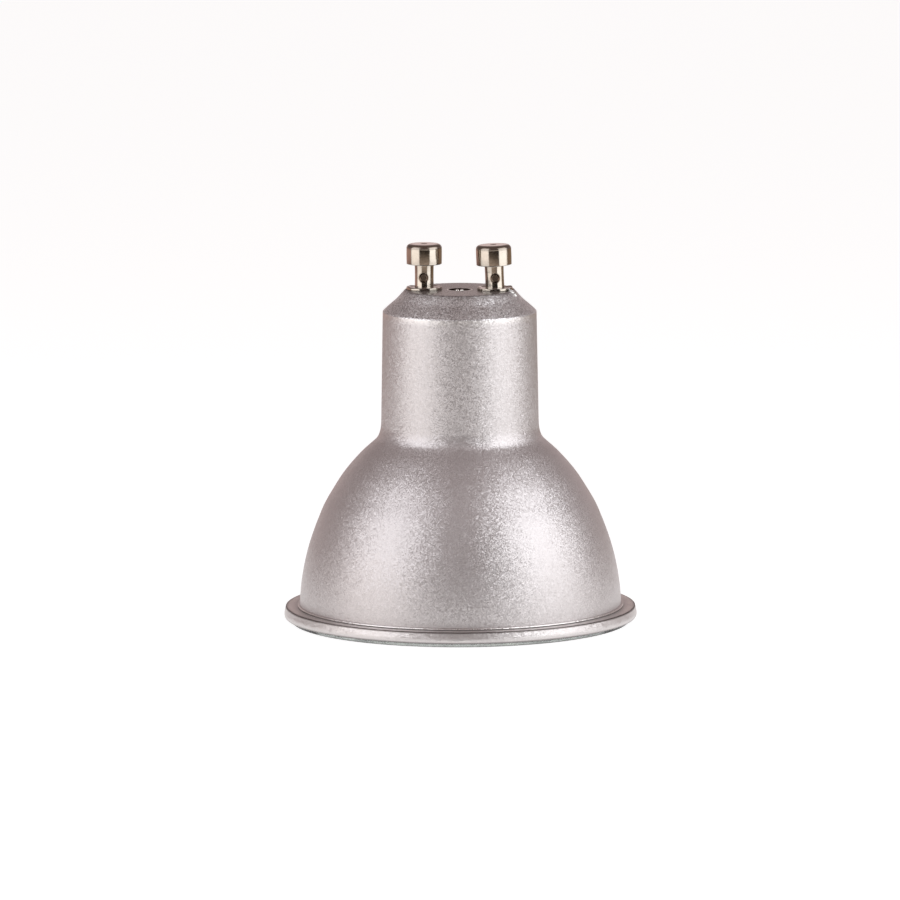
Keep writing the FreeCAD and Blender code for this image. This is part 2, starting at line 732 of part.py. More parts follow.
def parts():
    left, right = pin_places()
    lead_left, lead_right = led_lead_places()
    return {
        "housing": housing(),
        "base_cap": base_cap(),
        "contact_pin_left": contact_pin(left, CRIMP_TURN_LEFT_DEG),
        "contact_pin_right": contact_pin(right, CRIMP_TURN_RIGHT_DEG),
        "base_screw": base_screw(),
        "driver_sleeve": driver_sleeve(),
        "driver_board": driver_board(),
        "input_capacitor": can(can_r, lower_row_z, row_h),
        "output_capacitor": can(SMALL_CAN_R, upper_row_z, row_h),
        "inductor_core": inductor_core(),
        "inductor_winding": inductor_winding(),
        "fuse_resistor": fuse_resistor(),
        "bridge_rectifier": bridge_rectifier(),
        "driver_chip": driver_chip(),
        "chip_resistors": chip_resistors(),
        "mains_lead_left": mains_lead(left),
        "mains_lead_right": mains_lead(right),
        "led_lead_positive": led_lead(lead_left),
        "led_lead_negative": led_lead(lead_right),
        "heat_plate": heat_plate(),
        "thermal_pad": thermal_pad(),
        "led_board": led_board(),
        "led_chips": led_chips(),
        "board_screws": board_screws(),
        "lens": lens(),
    }


os.makedirs("parts", exist_ok=True)
for node, shape in parts().items():
    shape.exportStep(f"parts/{node}.step")
    print(f"{node}: {len(shape.Solids)} solid, {shape.Volume:.1f} mm3, valid {shape.isValid()}")
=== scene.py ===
import math

import bpy
import numpy as np
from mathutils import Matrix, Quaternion, Vector


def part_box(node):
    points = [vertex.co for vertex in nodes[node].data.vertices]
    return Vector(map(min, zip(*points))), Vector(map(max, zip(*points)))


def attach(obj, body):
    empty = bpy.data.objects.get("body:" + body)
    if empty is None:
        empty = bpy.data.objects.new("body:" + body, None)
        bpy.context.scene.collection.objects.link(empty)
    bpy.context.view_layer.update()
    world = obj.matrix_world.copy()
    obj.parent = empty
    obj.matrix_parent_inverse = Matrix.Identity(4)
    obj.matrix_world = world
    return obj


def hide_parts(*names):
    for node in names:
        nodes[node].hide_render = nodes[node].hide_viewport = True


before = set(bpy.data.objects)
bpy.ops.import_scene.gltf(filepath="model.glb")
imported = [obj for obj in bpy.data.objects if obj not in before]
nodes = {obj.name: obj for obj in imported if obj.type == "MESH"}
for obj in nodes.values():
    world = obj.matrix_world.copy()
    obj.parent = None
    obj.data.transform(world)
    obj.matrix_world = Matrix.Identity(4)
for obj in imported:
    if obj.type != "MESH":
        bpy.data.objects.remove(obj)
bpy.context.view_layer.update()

mm = 0.001
print("frame loaded:", len(nodes), "pieces")


def placed(name, data):
    item = bpy.data.objects.new(name, data)
    bpy.context.scene.collection.objects.link(item)
    return item


def gridPiece(name, x, y, z, closeAlong=False, **marks):
    # Surface over a grid: row i runs along the outline, column j round the axis.
    # Quad (i, j) joins rows i and i + 1 with columns j and j + 1, and the last column meets the first.
    # A row whose points all lie on the axis becomes one point, so that poles are closed.
    # marks are further grids of the same shape, kept as attributes of the points.
    rows, columns = x.shape
    points = np.stack([x, y, z], -1).reshape(-1, 3)
    index = np.arange(rows * columns).reshape(rows, columns)
    reach = np.hypot(x - x.mean(1, keepdims=True), y - y.mean(1, keepdims=True)).max(1)
    index[reach < 1e-7] = index[reach < 1e-7, :1]
    if closeAlong:
        index = np.concatenate([index, index[:1]])
    nextColumn = np.roll(index, -1, 1)
    below, above = index[:-1], index[1:]
    belowNext, aboveNext = nextColumn[:-1], nextColumn[1:]
    quads = np.stack([below, belowNext, aboveNext, above], -1).reshape(-1, 4)
    flatLow = quads[:, 0] == quads[:, 1]
    flatHigh = quads[:, 2] == quads[:, 3]
    whole = quads[~flatLow & ~flatHigh]
    corners = np.concatenate([quads[flatLow & ~flatHigh][:, [0, 2, 3]], quads[flatHigh & ~flatLow][:, :3]])
    used, renumbered = np.unique(np.concatenate([whole.ravel(), corners.ravel()]), return_inverse=True)
    loopStart = np.concatenate([np.arange(len(whole)) * 4, len(whole) * 4 + np.arange(len(corners)) * 3])

    mesh = bpy.data.meshes.new(name)
    mesh.vertices.add(len(used))
    mesh.vertices.foreach_set("co", points[used].astype(np.float32).ravel())
    mesh.loops.add(len(renumbered))
    mesh.loops.foreach_set("vertex_index", renumbered.astype(np.int32))
    mesh.polygons.add(len(loopStart))
    mesh.polygons.foreach_set("loop_start", loopStart.astype(np.int32))
    mesh.polygons.foreach_set("use_smooth", np.ones(len(loopStart), bool))
    for mark, values in marks.items():
        field = mesh.attributes.new(mark, "FLOAT", "POINT")
        field.data.foreach_set("value", values.reshape(-1)[used].astype(np.float32))
    mesh.update(calc_edges=True)
    mesh.validate()
    return placed(name, mesh)


def sharpen(piece, angle):
    piece.data.set_sharp_from_angle(angle=math.radians(angle))


def roundedOutline(corners, steps=7):
    # Outline of (radius from the axis, height, corner radius): each corner becomes an arc that
    # touches both of its runs, from corner + u * reach to corner + v * reach, reach = radius / tan(half angle).
    # The two ends stay as they are.
    spots = np.array(corners, float)
    points, radius = spots[:, :2], spots[:, 2]
    here = points[1:-1]
    toBefore = points[:-2] - here
    toAfter = points[2:] - here
    u = toBefore / np.linalg.norm(toBefore, axis=1, keepdims=True)
    v = toAfter / np.linalg.norm(toAfter, axis=1, keepdims=True)
    half = np.arccos(np.clip((u * v).sum(1), -1, 1)) / 2
    reach = radius[1:-1] / np.tan(half)
    bisector = (u + v) / np.linalg.norm(u + v, axis=1, keepdims=True)
    centre = here + bisector * (radius[1:-1] / np.sin(half))[:, None]
    start = here + u * reach[:, None] - centre
    end = here + v * reach[:, None] - centre
    sweep = (np.pi - 2 * half)[:, None, None]
    t = np.linspace(0, 1, steps)[None, :, None]
    fromStart, fromEnd = np.sin((1 - t) * sweep), np.sin(t * sweep)
    arcs = centre[:, None] + (fromStart * start[:, None] + fromEnd * end[:, None]) / np.sin(sweep)
    path = np.concatenate([points[:1], arcs.reshape(-1, 2), points[-1:]])
    apart = np.linalg.norm(np.diff(path, axis=0), axis=1) > 1e-4
    return path[np.concatenate([[True], apart])]


def divided(path, step):
    # The same outline with points no further apart than step, at even shares of its length.
    along = np.concatenate([[0], np.cumsum(np.linalg.norm(np.diff(path, axis=0), axis=1))])
    extra = np.linspace(0, along[-1], max(2, int(along[-1] / step)))
    every = np.unique(np.concatenate([along, extra]).round(5))
    return np.stack([np.interp(every, along, path[:, 0]), np.interp(every, along, path[:, 1])], 1)


def arc(centre, radius, fromAngle, toAngle, steps):
    # Points centre + radius * (cos, sin) at even angles, in the plane of radius and height.
    a = np.radians(np.linspace(fromAngle, toAngle, steps))
    return np.array(centre) + radius * np.stack([np.cos(a), np.sin(a)], 1)


def turned(outline, steps):
    # Grids of radius, height and angle for an outline carried round the axis in even steps.
    angle = np.arange(steps) * 2 * np.pi / steps
    r, z = [np.repeat(outline[:, k:k + 1], steps, 1) for k in (0, 1)]
    return r, z, np.repeat(angle[None], len(outline), 0)


# The painted casting: flange, dome, neck and the lip that the cap lies in.
casting = {
    "flangeT": 1.6, "flangeEdgeR": 0.3, "flangeFootIn": 0.05, "flangeWideH": 0.6, "flangeTopIn": 0.25,
    "flangeSideR": 1.5, "flangeTopR": 0.12,
    "domeBaseR": 22.8, "domeArcR": 33.4, "footLip": 0.34, "footH": 0.25, "footGroove": 0.12,
    "lipTopIn": 0.09, "lipLow": 0.15, "lipHigh": 0.24, "lipCornerR": 0.05, "lipEdgeR": 0.06,
    "wall": 1.5, "neckTopR": 10.86, "draft": 1.0, "neckFilletR": 3.2, "neckCornerR": 0.33, "chamferH": 3.03,
    "landR": 7.73, "landEdgeR": 0.06, "capSeatR": 7.61, "capSeatT": 1.0, "lipR": 6.9, "lipT": 1.2,
    "sharpR": 0.03, "innerCornerR": 0.3,
    "keyHalfW": 1.3, "keyReach": 7.2,
    "plateLow": 16.8, "plateHigh": 18.4, "ledgeW": 1.2, "seatLeadIn": 0.4,
    "boreUp": 4.0, "grooveUp": 2.6, "grooveH": 1.0, "grooveDepth": 0.4,
    "steps": 256, "wallStep": 0.05, "topStep": 0.1, "chamferStep": 0.2, "neckStep": 0.8,
    "swells": ((0.02, 27.7, 0.9), (-0.19, 25.7, 1.05), (0.13, 21.0, 2.2), (0.11, 16.8, 1.8), (-0.15, 45.9, 0.8)),
    # Painted highlights, (edge, amount, reach): the paint is made paler and glossier along edges and over the
    # flange's top and side.
    "wear": (("corner", 0.65, 0.09), ("lip", 1.0, 0.14), ("flangeTop", 0.55, 0.7), ("flangeSide", 0.25, 0.9),
             ("flangeEdge", 0.25, 0.1)),
    # Painted shade, (edge, amount, reach): the paint is darkened in the groove at the dome's foot, along the flange's
    # upper and lower edges and at the seam round the cap.
    "shade": (("groove", 0.7, 0.3), ("flangeHigh", 1.0, 0.17), ("flangeLow", 0.9, 0.13),
              ("land", 0.45, 0.16), ("land", 0.22, 0.6)),
}


def castingOutline(low, high):
    # One closed outline of radius and height: flange, dome arc, hollow fillet, drafted neck, chamfer,
    # the cap's seat, and back inside at the wall's distance. The fillet's centre lies neckFilletR outside
    # the neck's line and domeArcR + neckFilletR from the dome's centre, so it touches both.
    # Swells of (size, height, reach) then move the outer wall a tenth of a millimetre, as in the photo:
    # size * exp(-((z - height) / reach) ** 2). The outline's named edges carry the painted highlights and the painted
    # shade.
    p = casting
    flangeR, bottom, top = high.x / mm, low.z / mm, high.z / mm
    flangeTop = bottom + p["flangeT"]
    domeCentre = np.array([p["domeBaseR"] - p["domeArcR"], (bottom + flangeTop) / 2])
    cosDraft, sinDraft = math.cos(math.radians(p["draft"])), math.sin(math.radians(p["draft"]))
    neckOut, neckUp = np.array([cosDraft, sinDraft]), np.array([-sinDraft, cosDraft])
    neckCorner = np.array([p["neckTopR"], top - p["chamferH"]])
    offLine = neckOut @ (neckCorner - domeCentre) + p["neckFilletR"]
    rise = math.sqrt((p["domeArcR"] + p["neckFilletR"]) ** 2 - offLine ** 2)
    filletCentre = domeCentre + neckOut * offLine + neckUp * rise
    toFillet = filletCentre - domeCentre
    meetAngle = math.degrees(math.atan2(toFillet[1], toFillet[0]))

    def domeAngle(z, inset):
        return math.degrees(math.asin((z - domeCentre[1]) / (p["domeArcR"] - inset)))

    def domeR(z, inset):
        return domeCentre[0] + math.sqrt((p["domeArcR"] - inset) ** 2 - (z - domeCentre[1]) ** 2)

    footZ = flangeTop + p["footH"]
    footR = domeR(footZ, 0)
    lipOut = footR + p["footLip"]
    boreZ = bottom + p["boreUp"]
    boreR = domeR(boreZ, p["wall"])
    seatR = domeR(p["plateHigh"], p["wall"])
    ledgeR = seatR - p["ledgeW"]
    ledgeAngle = math.degrees(math.acos((ledgeR - domeCentre[0]) / (p["domeArcR"] - p["wall"])))
    ledgeTop = arc(domeCentre, p["domeArcR"] - p["wall"], ledgeAngle, ledgeAngle, 1)[0]
    leadZ = p["plateLow"] - p["seatLeadIn"]

    chamferUp = np.array([p["landR"], top]) - neckCorner
    chamferUp /= np.linalg.norm(chamferUp)
    chamferOut = np.array([chamferUp[1], -chamferUp[0]])
    innerCorner = neckCorner - (neckOut + chamferOut) * p["wall"] / (1 + neckOut @ chamferOut)
    lipZ = top - p["capSeatT"] - p["lipT"]
    innerLip = innerCorner + chamferUp * (lipZ - innerCorner[1]) / chamferUp[1]

    flange = roundedOutline([
        (boreR, bottom, 0), (flangeR - p["flangeFootIn"], bottom, p["flangeEdgeR"]),
        (flangeR, bottom + p["flangeWideH"], p["flangeSideR"]),
        (flangeR - p["flangeTopIn"], flangeTop, p["flangeTopR"]),
        (footR - p["footGroove"], flangeTop, p["sharpR"]),
        (footR - p["footGroove"], flangeTop + p["footH"] * p["lipLow"], p["sharpR"]),
        (lipOut, flangeTop + p["footH"] * p["lipHigh"], p["lipCornerR"]),
        (lipOut - p["lipTopIn"], footZ, p["lipEdgeR"]),
        (footR - 0.02, footZ + 0.03, 0),
    ], 6)
    topFrom = np.argmax(flange[:, 1] > flangeTop - 1e-6)
    wallFrom = np.argmax(flange[:, 0] > flangeR - 0.4)
    flange = np.concatenate([flange[:wallFrom], divided(flange[wallFrom:topFrom + 1], p["wallStep"]),
                             divided(flange[topFrom:topFrom + 2], p["topStep"])[1:], flange[topFrom + 2:]])
    dome = arc(domeCentre, p["domeArcR"], domeAngle(footZ + 0.08, 0), meetAngle, 70)
    fillet = arc(filletCentre, p["neckFilletR"], 180 + meetAngle, 180 + p["draft"], 22)
    crown = roundedOutline([
        (*fillet[-1], 0), (*neckCorner, p["neckCornerR"]), (p["landR"], top, p["landEdgeR"]),
        (p["capSeatR"], top, p["sharpR"]), (p["capSeatR"], top - p["capSeatT"], p["sharpR"]),
        (p["lipR"], top - p["capSeatT"], 0), (p["lipR"], lipZ, 0), (*innerLip, 0), (*innerCorner, p["innerCornerR"]),
        (*(filletCentre - neckOut * (p["neckFilletR"] + p["wall"])), 0),
    ], 9)
    innerFillet = arc(filletCentre, p["neckFilletR"] + p["wall"], 180 + p["draft"], 180 + meetAngle, 14)
    innerDome = arc(domeCentre, p["domeArcR"] - p["wall"], meetAngle, ledgeAngle, 20)
    seat = np.array([(ledgeR, ledgeTop[1]), (ledgeR, p["plateHigh"]), (seatR, p["plateHigh"]), (seatR, leadZ)])
    lowDome = arc(domeCentre, p["domeArcR"] - p["wall"], domeAngle(leadZ, p["wall"]), domeAngle(boreZ, p["wall"]), 16)
    grooveLow = bottom + p["grooveUp"]
    grooveTop = grooveLow + p["grooveH"]
    grooveR = boreR + p["grooveDepth"]
    groove = np.array([(boreR, grooveTop), (grooveR, grooveTop), (grooveR, grooveLow), (boreR, grooveLow)])
    neckRun = divided(crown[:2], p["neckStep"])
    landAt = np.argmax(crown[:, 1] > top - 0.1)
    crownPart = np.concatenate([divided(crown[1:landAt + 1], p["chamferStep"])[1:], crown[landAt + 1:]])
    parts = [flange[:-1], dome, fillet[1:], neckRun[1:], crownPart,
             innerFillet[1:], innerDome[1:], seat, lowDome, groove]
    edgeR = flangeR - p["flangeTopIn"]
    edges = {
        "corner": (neckCorner[0], neckCorner[1] - 0.18), "land": (p["landR"], top),
        "lip": (lipOut, footZ - 0.06), "groove": (footR, flangeTop),
        "flangeHigh": (edgeR - 0.02, flangeTop - 0.04), "flangeEdge": (edgeR + 0.06, flangeTop - 0.27),
        "flangeLow": (flangeR - 0.08, bottom + 0.06), "flangeTop": ((lipOut + flangeR) / 2 + 0.05, flangeTop),
        "flangeSide": (flangeR, (bottom + flangeTop) / 2),
    }
    coarse = np.concatenate([np.full(len(part), 1.0 if part is crownPart else 0.0) for part in parts])
    whole = np.concatenate(parts)
    coarse *= whole[:, 0] > p["landR"]
    outside = np.arange(len(whole)) < sum(len(part) for part in parts[:4]) + landAt + 40
    outside &= (whole[:, 0] > p["landR"] + 0.05) & (whole[:, 1] > footZ + 1)
    for swell, height, reach in p["swells"]:
        whole[:, 0] += outside * swell * np.exp(-((whole[:, 1] - height) / reach) ** 2)
    return whole, edges, coarse


def nearness(outline, spot, spread):
    # 1 at the spot and falling off with distance as exp(-(distance / spread) ** 2).
    return np.exp(-((outline - spot) ** 2).sum(1) / spread ** 2)


def castingSurface():
    # The outline turned round the lamp's axis. In the lip, two key slots run along Y:
    # there r = max(lipR, min(keyReach / |sin a|, keyHalfW / |cos a|)).
    # The highlight mark is 1 where the paint gets a painted highlight, paler and glossier, along edges and over the
    # flange's top and side. The shade mark is 1 where the paint is darkened as painted shade, in the groove at the
    # dome's foot, along the flange's edges and at the seam round the cap. Each is a sum of amount * nearness over the
    # edges that it names.
    # coarse is 1 on the chamfer, where the flakes stand out most.
    p = casting
    low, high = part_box("housing")
    outline, edges, coarse = castingOutline(low, high)
    r, z, a = turned(outline, p["steps"])
    slot = np.minimum(p["keyReach"] / np.maximum(np.abs(np.sin(a)), 1e-6),
                      p["keyHalfW"] / np.maximum(np.abs(np.cos(a)), 1e-6))
    r = np.where(np.abs(r - p["lipR"]) < 1e-6, np.maximum(p["lipR"], slot), r)

    only = {
        "flangeTop": np.abs(outline[:, 1] - edges["flangeTop"][1]) < 0.01,
        "flangeSide": outline[:, 0] > edges["flangeSide"][0] - 0.3,
        "groove": outline[:, 1] < edges["lip"][1] - 0.05, "land": coarse,
    }
    wear, shade = [sum(amount * nearness(outline, edges[edge], reach) * only.get(edge, 1)
                       for edge, amount, reach in lines) for lines in (p["wear"], p["shade"])]
    wear, shade, coarse = [np.repeat(mark[:, None].clip(0, 1), p["steps"], 1) for mark in (wear, shade, coarse)]

    piece = gridPiece("castingSkin", r * np.cos(a) * mm, r * np.sin(a) * mm, z * mm, closeAlong=True,
                      wear=wear, shade=shade, coarse=coarse)
    sharpen(piece, 40)
    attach(piece, "root")
    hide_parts("housing")
    return piece


housingSkin = castingSurface()
print("casting turned:", len(housingSkin.data.polygons))


# The two contact pins, plated, each with a crimp mark front and back.
contactPin = {
    "pitch": 10.0,
    "headR": 2.5, "headRound": 0.6, "headBreak": 0.12, "headH": 2.87,
    "markR": 0.4, "markDepth": 0.25,
    "stemR": 1.35, "stemH": 3.35, "neckRound": 0.1,
    "headBulge": 0.03, "stemWaist": 0.035,
    "collarR": 2.53, "collarT": 0.25, "collarRim": 0.16, "collarRound": 0.1, "collarWave": 0.05,
    "tailR": 1.2, "tailEnd": 42.8, "boreR": 0.65, "boreTop": 50.05,
    "crimpR": 0.6, "crimpDepth": 0.35, "crimpLip": 0.09, "crimpUp": 1.5, "crimpRim": 0.13, "crimpShade": 0.75,
    "shoulderShade": 0.8, "shoulderShadeReach": 0.26,
    "steps": 224,
}


def pinSurface(name, node, side, crimpTurn, lean, seed):
    # The pin's outline turned round its axis: x = r cos(a), y = r sin(a), with two changes by place.
    # A crimp pushes the stem's wall in to a flat floor, r = floor / cos(a - way), inside a circle on the wall.
    # The collar, pressed over the cap, rises to its rim and waves with the angle as a sum of sines.
    # The head's side bulges and the stem is waisted by a parabola of their height.
    # A pin that leans is turned by lean degrees about its foot, and kept under its node's top.
    # The darkening mark is 1 inside the crimps and round the head's shoulder: painted shade in and round the crimps,
    # a painted dark reflection on the shoulder.
    p = contactPin
    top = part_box(node)[1].z / mm
    headFoot = top - p["headH"]
    collarTop = headFoot - p["stemH"]
    capFace = collarTop - p["collarT"]
    outline = roundedOutline([
        (0, p["boreTop"], 0), (p["boreR"], p["boreTop"], 0), (p["boreR"], p["tailEnd"], 0.05),
        (p["tailR"], p["tailEnd"], 0.05), (p["tailR"], capFace, 0), (p["collarR"], capFace, 0.03),
        (p["collarR"], collarTop, p["collarRound"]), (p["stemR"], collarTop, p["neckRound"]),
        (p["stemR"], headFoot, p["neckRound"]), (p["headR"], headFoot, p["headBreak"]),
        (p["headR"], top, p["headRound"]), (p["markR"] + 0.08, top, 0.05),
        (p["markR"] * 0.4, top - p["markDepth"], 0.1), (0, top - p["markDepth"], 0),
    ])
    outline = divided(outline, 0.09)
    onHeadSide = np.abs(outline[:, 0] - p["headR"]) < 1e-4
    share = (outline[:, 1] - headFoot) / p["headH"] * 2 - 1
    outline[:, 0] -= p["headBulge"] * onHeadSide * share ** 2
    onStemSide = (np.abs(outline[:, 0] - p["stemR"]) < 1e-4) & (outline[:, 1] > collarTop)
    share = (outline[:, 1] - collarTop) / p["stemH"] * 2 - 1
    outline[:, 0] -= p["stemWaist"] * onStemSide * (1 - share ** 2)
    r, z, a = turned(outline, p["steps"])

    # Painted dark reflection round the head's shoulder.
    paintedDark = p["shoulderShade"] * nearness(outline, (p["headR"] - 0.2, top - 0.28), p["shoulderShadeReach"])
    shade = np.repeat(paintedDark[:, None], p["steps"], 1)
    onStem = (outline[:, 0] > p["stemR"] - 0.05) & (outline[:, 1] > collarTop + 0.05) & (outline[:, 1] < headFoot)
    for faceAngle in (-90, 90):
        turn = (a - math.radians(faceAngle + crimpTurn) + np.pi) % (2 * np.pi) - np.pi
        across = p["stemR"] * np.sin(turn)
        up = z - collarTop - p["crimpUp"]
        away = np.hypot(across, up)
        inside = np.clip((p["crimpR"] - away) / p["crimpLip"] + 0.5, 0, 1)
        inside = inside * inside * (3 - 2 * inside) * (np.cos(turn) > 0) * onStem[:, None]
        floor = (p["stemR"] - p["crimpDepth"]) / np.maximum(np.cos(turn), 0.3)
        r = r + inside * (np.minimum(floor, r) - r)
        # Painted shade inside each crimp and in a dark ring round it.
        rim = np.exp(-((away - p["crimpR"]) / p["crimpRim"]) ** 2) * (np.cos(turn) > 0) * onStem[:, None]
        shade = np.maximum(shade, np.maximum(p["crimpShade"] * inside, rim))

    rng = np.random.default_rng(seed)
    phase = rng.uniform(0, 2 * np.pi, 4)
    wave = sum(np.sin(k * a + phase[i] + (1.5 + i) * r) for i, k in enumerate((3, 5, 7, 10))) / 2
    onCollar = (outline[:, 1] > capFace + 0.1) & (outline[:, 1] < collarTop + 0.03)
    onCollar &= outline[:, 0] > p["stemR"] + 0.05
    share = ((outline[:, 0] - p["stemR"]) / (p["collarR"] - p["stemR"])).clip(0, 1) * onCollar
    z = z + share[:, None] * (p["collarRim"] * np.sin(share[:, None] * 2.2) + p["collarWave"] * wave)

    x = r * np.cos(a)
    tilt = np.radians(lean) * ((z - collarTop) / 0.6).clip(0, 1)
    x, z = x - (z - collarTop) * np.sin(tilt), z + x * np.sin(tilt)
    z = z - (z.max() - top) * (z > headFoot - 1)
    piece = gridPiece(name, (p["pitch"] / 2 * side + x) * mm, r * np.sin(a) * mm, z * mm, shade=shade)
    sharpen(piece, 40)
    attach(piece, "root")
    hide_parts(node)
    return piece


pins = [
    pinSurface("contactPinLeft", "contact_pin_left", side=-1, crimpTurn=0, lean=0, seed=3),
    pinSurface("contactPinRight", "contact_pin_right", side=1, crimpTurn=9, lean=1.9, seed=8),
]
print("pins turned:", [len(pin.data.polygons) for pin in pins])


# The clamping screw, a round head with a crossed recess, deep enough to lie under the cap's face.
baseScrew = {
    "headR": 1.32, "crownLow": 0.9, "crownTop": 1.30, "shankR": 0.88, "seatBelowFace": 1.5,
    "crossHalfW": 0.2, "crossReach": 0.75, "crossDepth": 0.5, "crossTurn": 5, "steps": 200,
    "burrAside": 0.32, "burrForward": 0.85, "burrR": 0.25, "burrTop": 1.68,
}


def screwSurface():
    # The head's crown is z = low + rise * (1 - (r / headR) ** 2) ** 0.55, less the cross:
    # depth * (1 - |across| / halfWidth) inside either arm. Below it the shank goes down as a plain turned run.
    # The driver raised two burrs beside the front arm: half balls of burrR whose tops stand at burrTop.
    p = baseScrew
    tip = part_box("base_screw")[0].z / mm
    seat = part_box("base_cap")[1].z / mm - p["seatBelowFace"]
    radius = np.linspace(0, 1, 70) ** 0.7 * p["headR"]
    dome = (1 - (radius / p["headR"]) ** 2).clip(0, 1) ** 0.55
    crown = seat + p["crownLow"] + (p["crownTop"] - p["crownLow"]) * dome
    below = np.array([
        (p["headR"], seat + 0.3), (p["headR"], seat + 0.12), (p["headR"] - 0.06, seat), (p["shankR"], seat),
        (p["shankR"], seat - 1.5), (p["shankR"], tip + 0.4), (p["shankR"] - 0.3, tip), (0, tip),
    ])
    outline = np.concatenate([np.stack([radius, crown], 1), below])[::-1]
    r, z, a = turned(outline, p["steps"])
    x, y = r * np.cos(a), r * np.sin(a)
    onCrown = (outline[:, 1] > seat + p["crownLow"] - 1e-6)[:, None]
    turn = math.radians(p["crossTurn"])
    u, v = x * math.cos(turn) + y * math.sin(turn), y * math.cos(turn) - x * math.sin(turn)
    across = np.minimum(np.where(np.abs(u) < p["crossReach"], np.abs(v), np.inf),
                        np.where(np.abs(v) < p["crossReach"], np.abs(u), np.inf))
    z = z - p["crossDepth"] * (1 - across / p["crossHalfW"]).clip(0, 1) * onCrown
    away = np.hypot(np.abs(u) - p["burrAside"], v + p["burrForward"])
    burr = seat + p["burrTop"] - p["burrR"] + np.sqrt((p["burrR"] ** 2 - away ** 2).clip(0, None))
    z = np.where((away < p["burrR"]) & onCrown, np.maximum(z, burr), z)
    piece = gridPiece("baseScrewHead", x * mm, y * mm, z * mm)
    sharpen(piece, 50)
    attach(piece, "root")
    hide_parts("base_screw")
    return piece


screwPiece = screwSurface()


# A fleck of bare metal that the tool left standing on the casting's top edge.
edgeFleck = {
    "azimuth": -14.1, "radius": 7.86, "height": 47.08, "length": 0.85, "width": 1.3, "thick": 0.5,
    "slope": 38, "ripple": 0.13, "seed": 5,
}


def fleckSurface():
    # A pebble: unit sphere points times (length, width, thick) / 2, times 1 + a sum of sines of both angles.
    p = edgeFleck
    rng = np.random.default_rng(p["seed"])
    u, v = np.meshgrid(np.linspace(-np.pi / 2, np.pi / 2, 25), np.arange(48) * np.pi / 24, indexing="ij")
    ripple = sum(np.sin(k * v + rng.uniform(0, 6.3) + j * u) * p["ripple"]
                 for k, j in ((2, 1), (3, 3), (5, 2), (7, 5)))
    size = 1 + ripple * np.cos(u)
    along = np.cos(u) * np.cos(v) * size * p["length"] / 2
    out = np.cos(u) * np.sin(v) * size * p["width"] / 2
    up = np.sin(u) * size * p["thick"] / 2
    c, k = math.cos(math.radians(p["azimuth"])), math.sin(math.radians(p["azimuth"]))
    slope = math.radians(p["slope"])
    outTilted = out * math.cos(slope) + up * math.sin(slope)
    upTilted = up * math.cos(slope) - out * math.sin(slope)
    x = c * (p["radius"] + outTilted) - k * along
    y = k * (p["radius"] + outTilted) + c * along
    piece = gridPiece("edgeFleck", x * mm, y * mm, (p["height"] + upTilted) * mm)
    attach(piece, "root")
    return piece


fleck = fleckSurface()


def added(tree, kind, inputs=None, **settings):
    # A new node. Each of its inputs takes a value or another node's output.
    node = tree.nodes.new("ShaderNode" + kind)
    for setting, value in settings.items():
        setattr(node, setting, value)
    for socket, value in (inputs or {}).items():
        if isinstance(value, bpy.types.NodeSocket):
            tree.links.new(value, node.inputs[socket])
        else:
            node.inputs[socket].default_value = value
    return node


def startMaterial(name, base, metallic, roughness, **more):
    material = bpy.data.materials.new(name)
    material.use_nodes = True
    tree = material.node_tree
    shader = tree.nodes["Principled BSDF"]
    shader.inputs["Base Color"].default_value = (*base, 1)
    shader.inputs["Metallic"].default_value = metallic
    shader.inputs["Roughness"].default_value = roughness
    for socket, value in more.items():
        shader.inputs[socket.replace("_", " ")].default_value = value
    return material, tree, shader, added(tree, "TexCoord").outputs["Object"]


def noise(tree, place, size, detail, roughness=0.5, stretch=None):
    # Noise whose features are about size millimetres across.
    if stretch:
        place = mapped(tree, place, scale=stretch)
    texture = {"Vector": place, "Scale": 1 / (size * mm), "Detail": detail, "Roughness": roughness}
    return added(tree, "TexNoise", texture).outputs["Fac"]


def ramp(tree, factor, stops, constant=False):
    node = added(tree, "ValToRGB", {"Fac": factor})
    band = node.color_ramp
    if constant:
        band.interpolation = "CONSTANT"
    while len(band.elements) < len(stops):
        band.elements.new(0.5)
    for element, (position, color) in zip(band.elements, stops):
        element.position = position
        element.color = (*color, 1)
    return node.outputs["Color"]


def remap(tree, value, low, high, toLow, toHigh):
    # value between low and high, mapped to toLow and toHigh and held between them.
    ends = {"From Min": low, "From Max": high, "To Min": toLow, "To Max": toHigh}
    return added(tree, "MapRange", {"Value": value, **ends}).outputs["Result"]


def math2(tree, operation, a, b):
    return added(tree, "Math", {0: a, 1: b}, operation=operation).outputs["Value"]


def times(tree, a, b):
    return math2(tree, "MULTIPLY", a, b)


def swing(tree, texture, low, high):
    # Noise keeps mostly between 0.3 and 0.7, and that range becomes low to high.
    return remap(tree, texture, 0.3, 0.7, low, high)


def bump(tree, height, depth, normal=None):
    # depth is the height in millimetres that a full swing of the texture stands for.
    node = added(tree, "Bump", {"Height": height, "Distance": depth * mm})
    if normal is not None:
        tree.links.new(normal, node.inputs["Normal"])
    return node.outputs["Normal"]


def feed(tree, shader, color, gloss, relief):
    for socket, value in (("Base Color", color), ("Roughness", gloss), ("Normal", relief)):
        tree.links.new(value, shader.inputs[socket])


def tint(color, factor):
    return tuple(min(1.0, c * factor) for c in color)


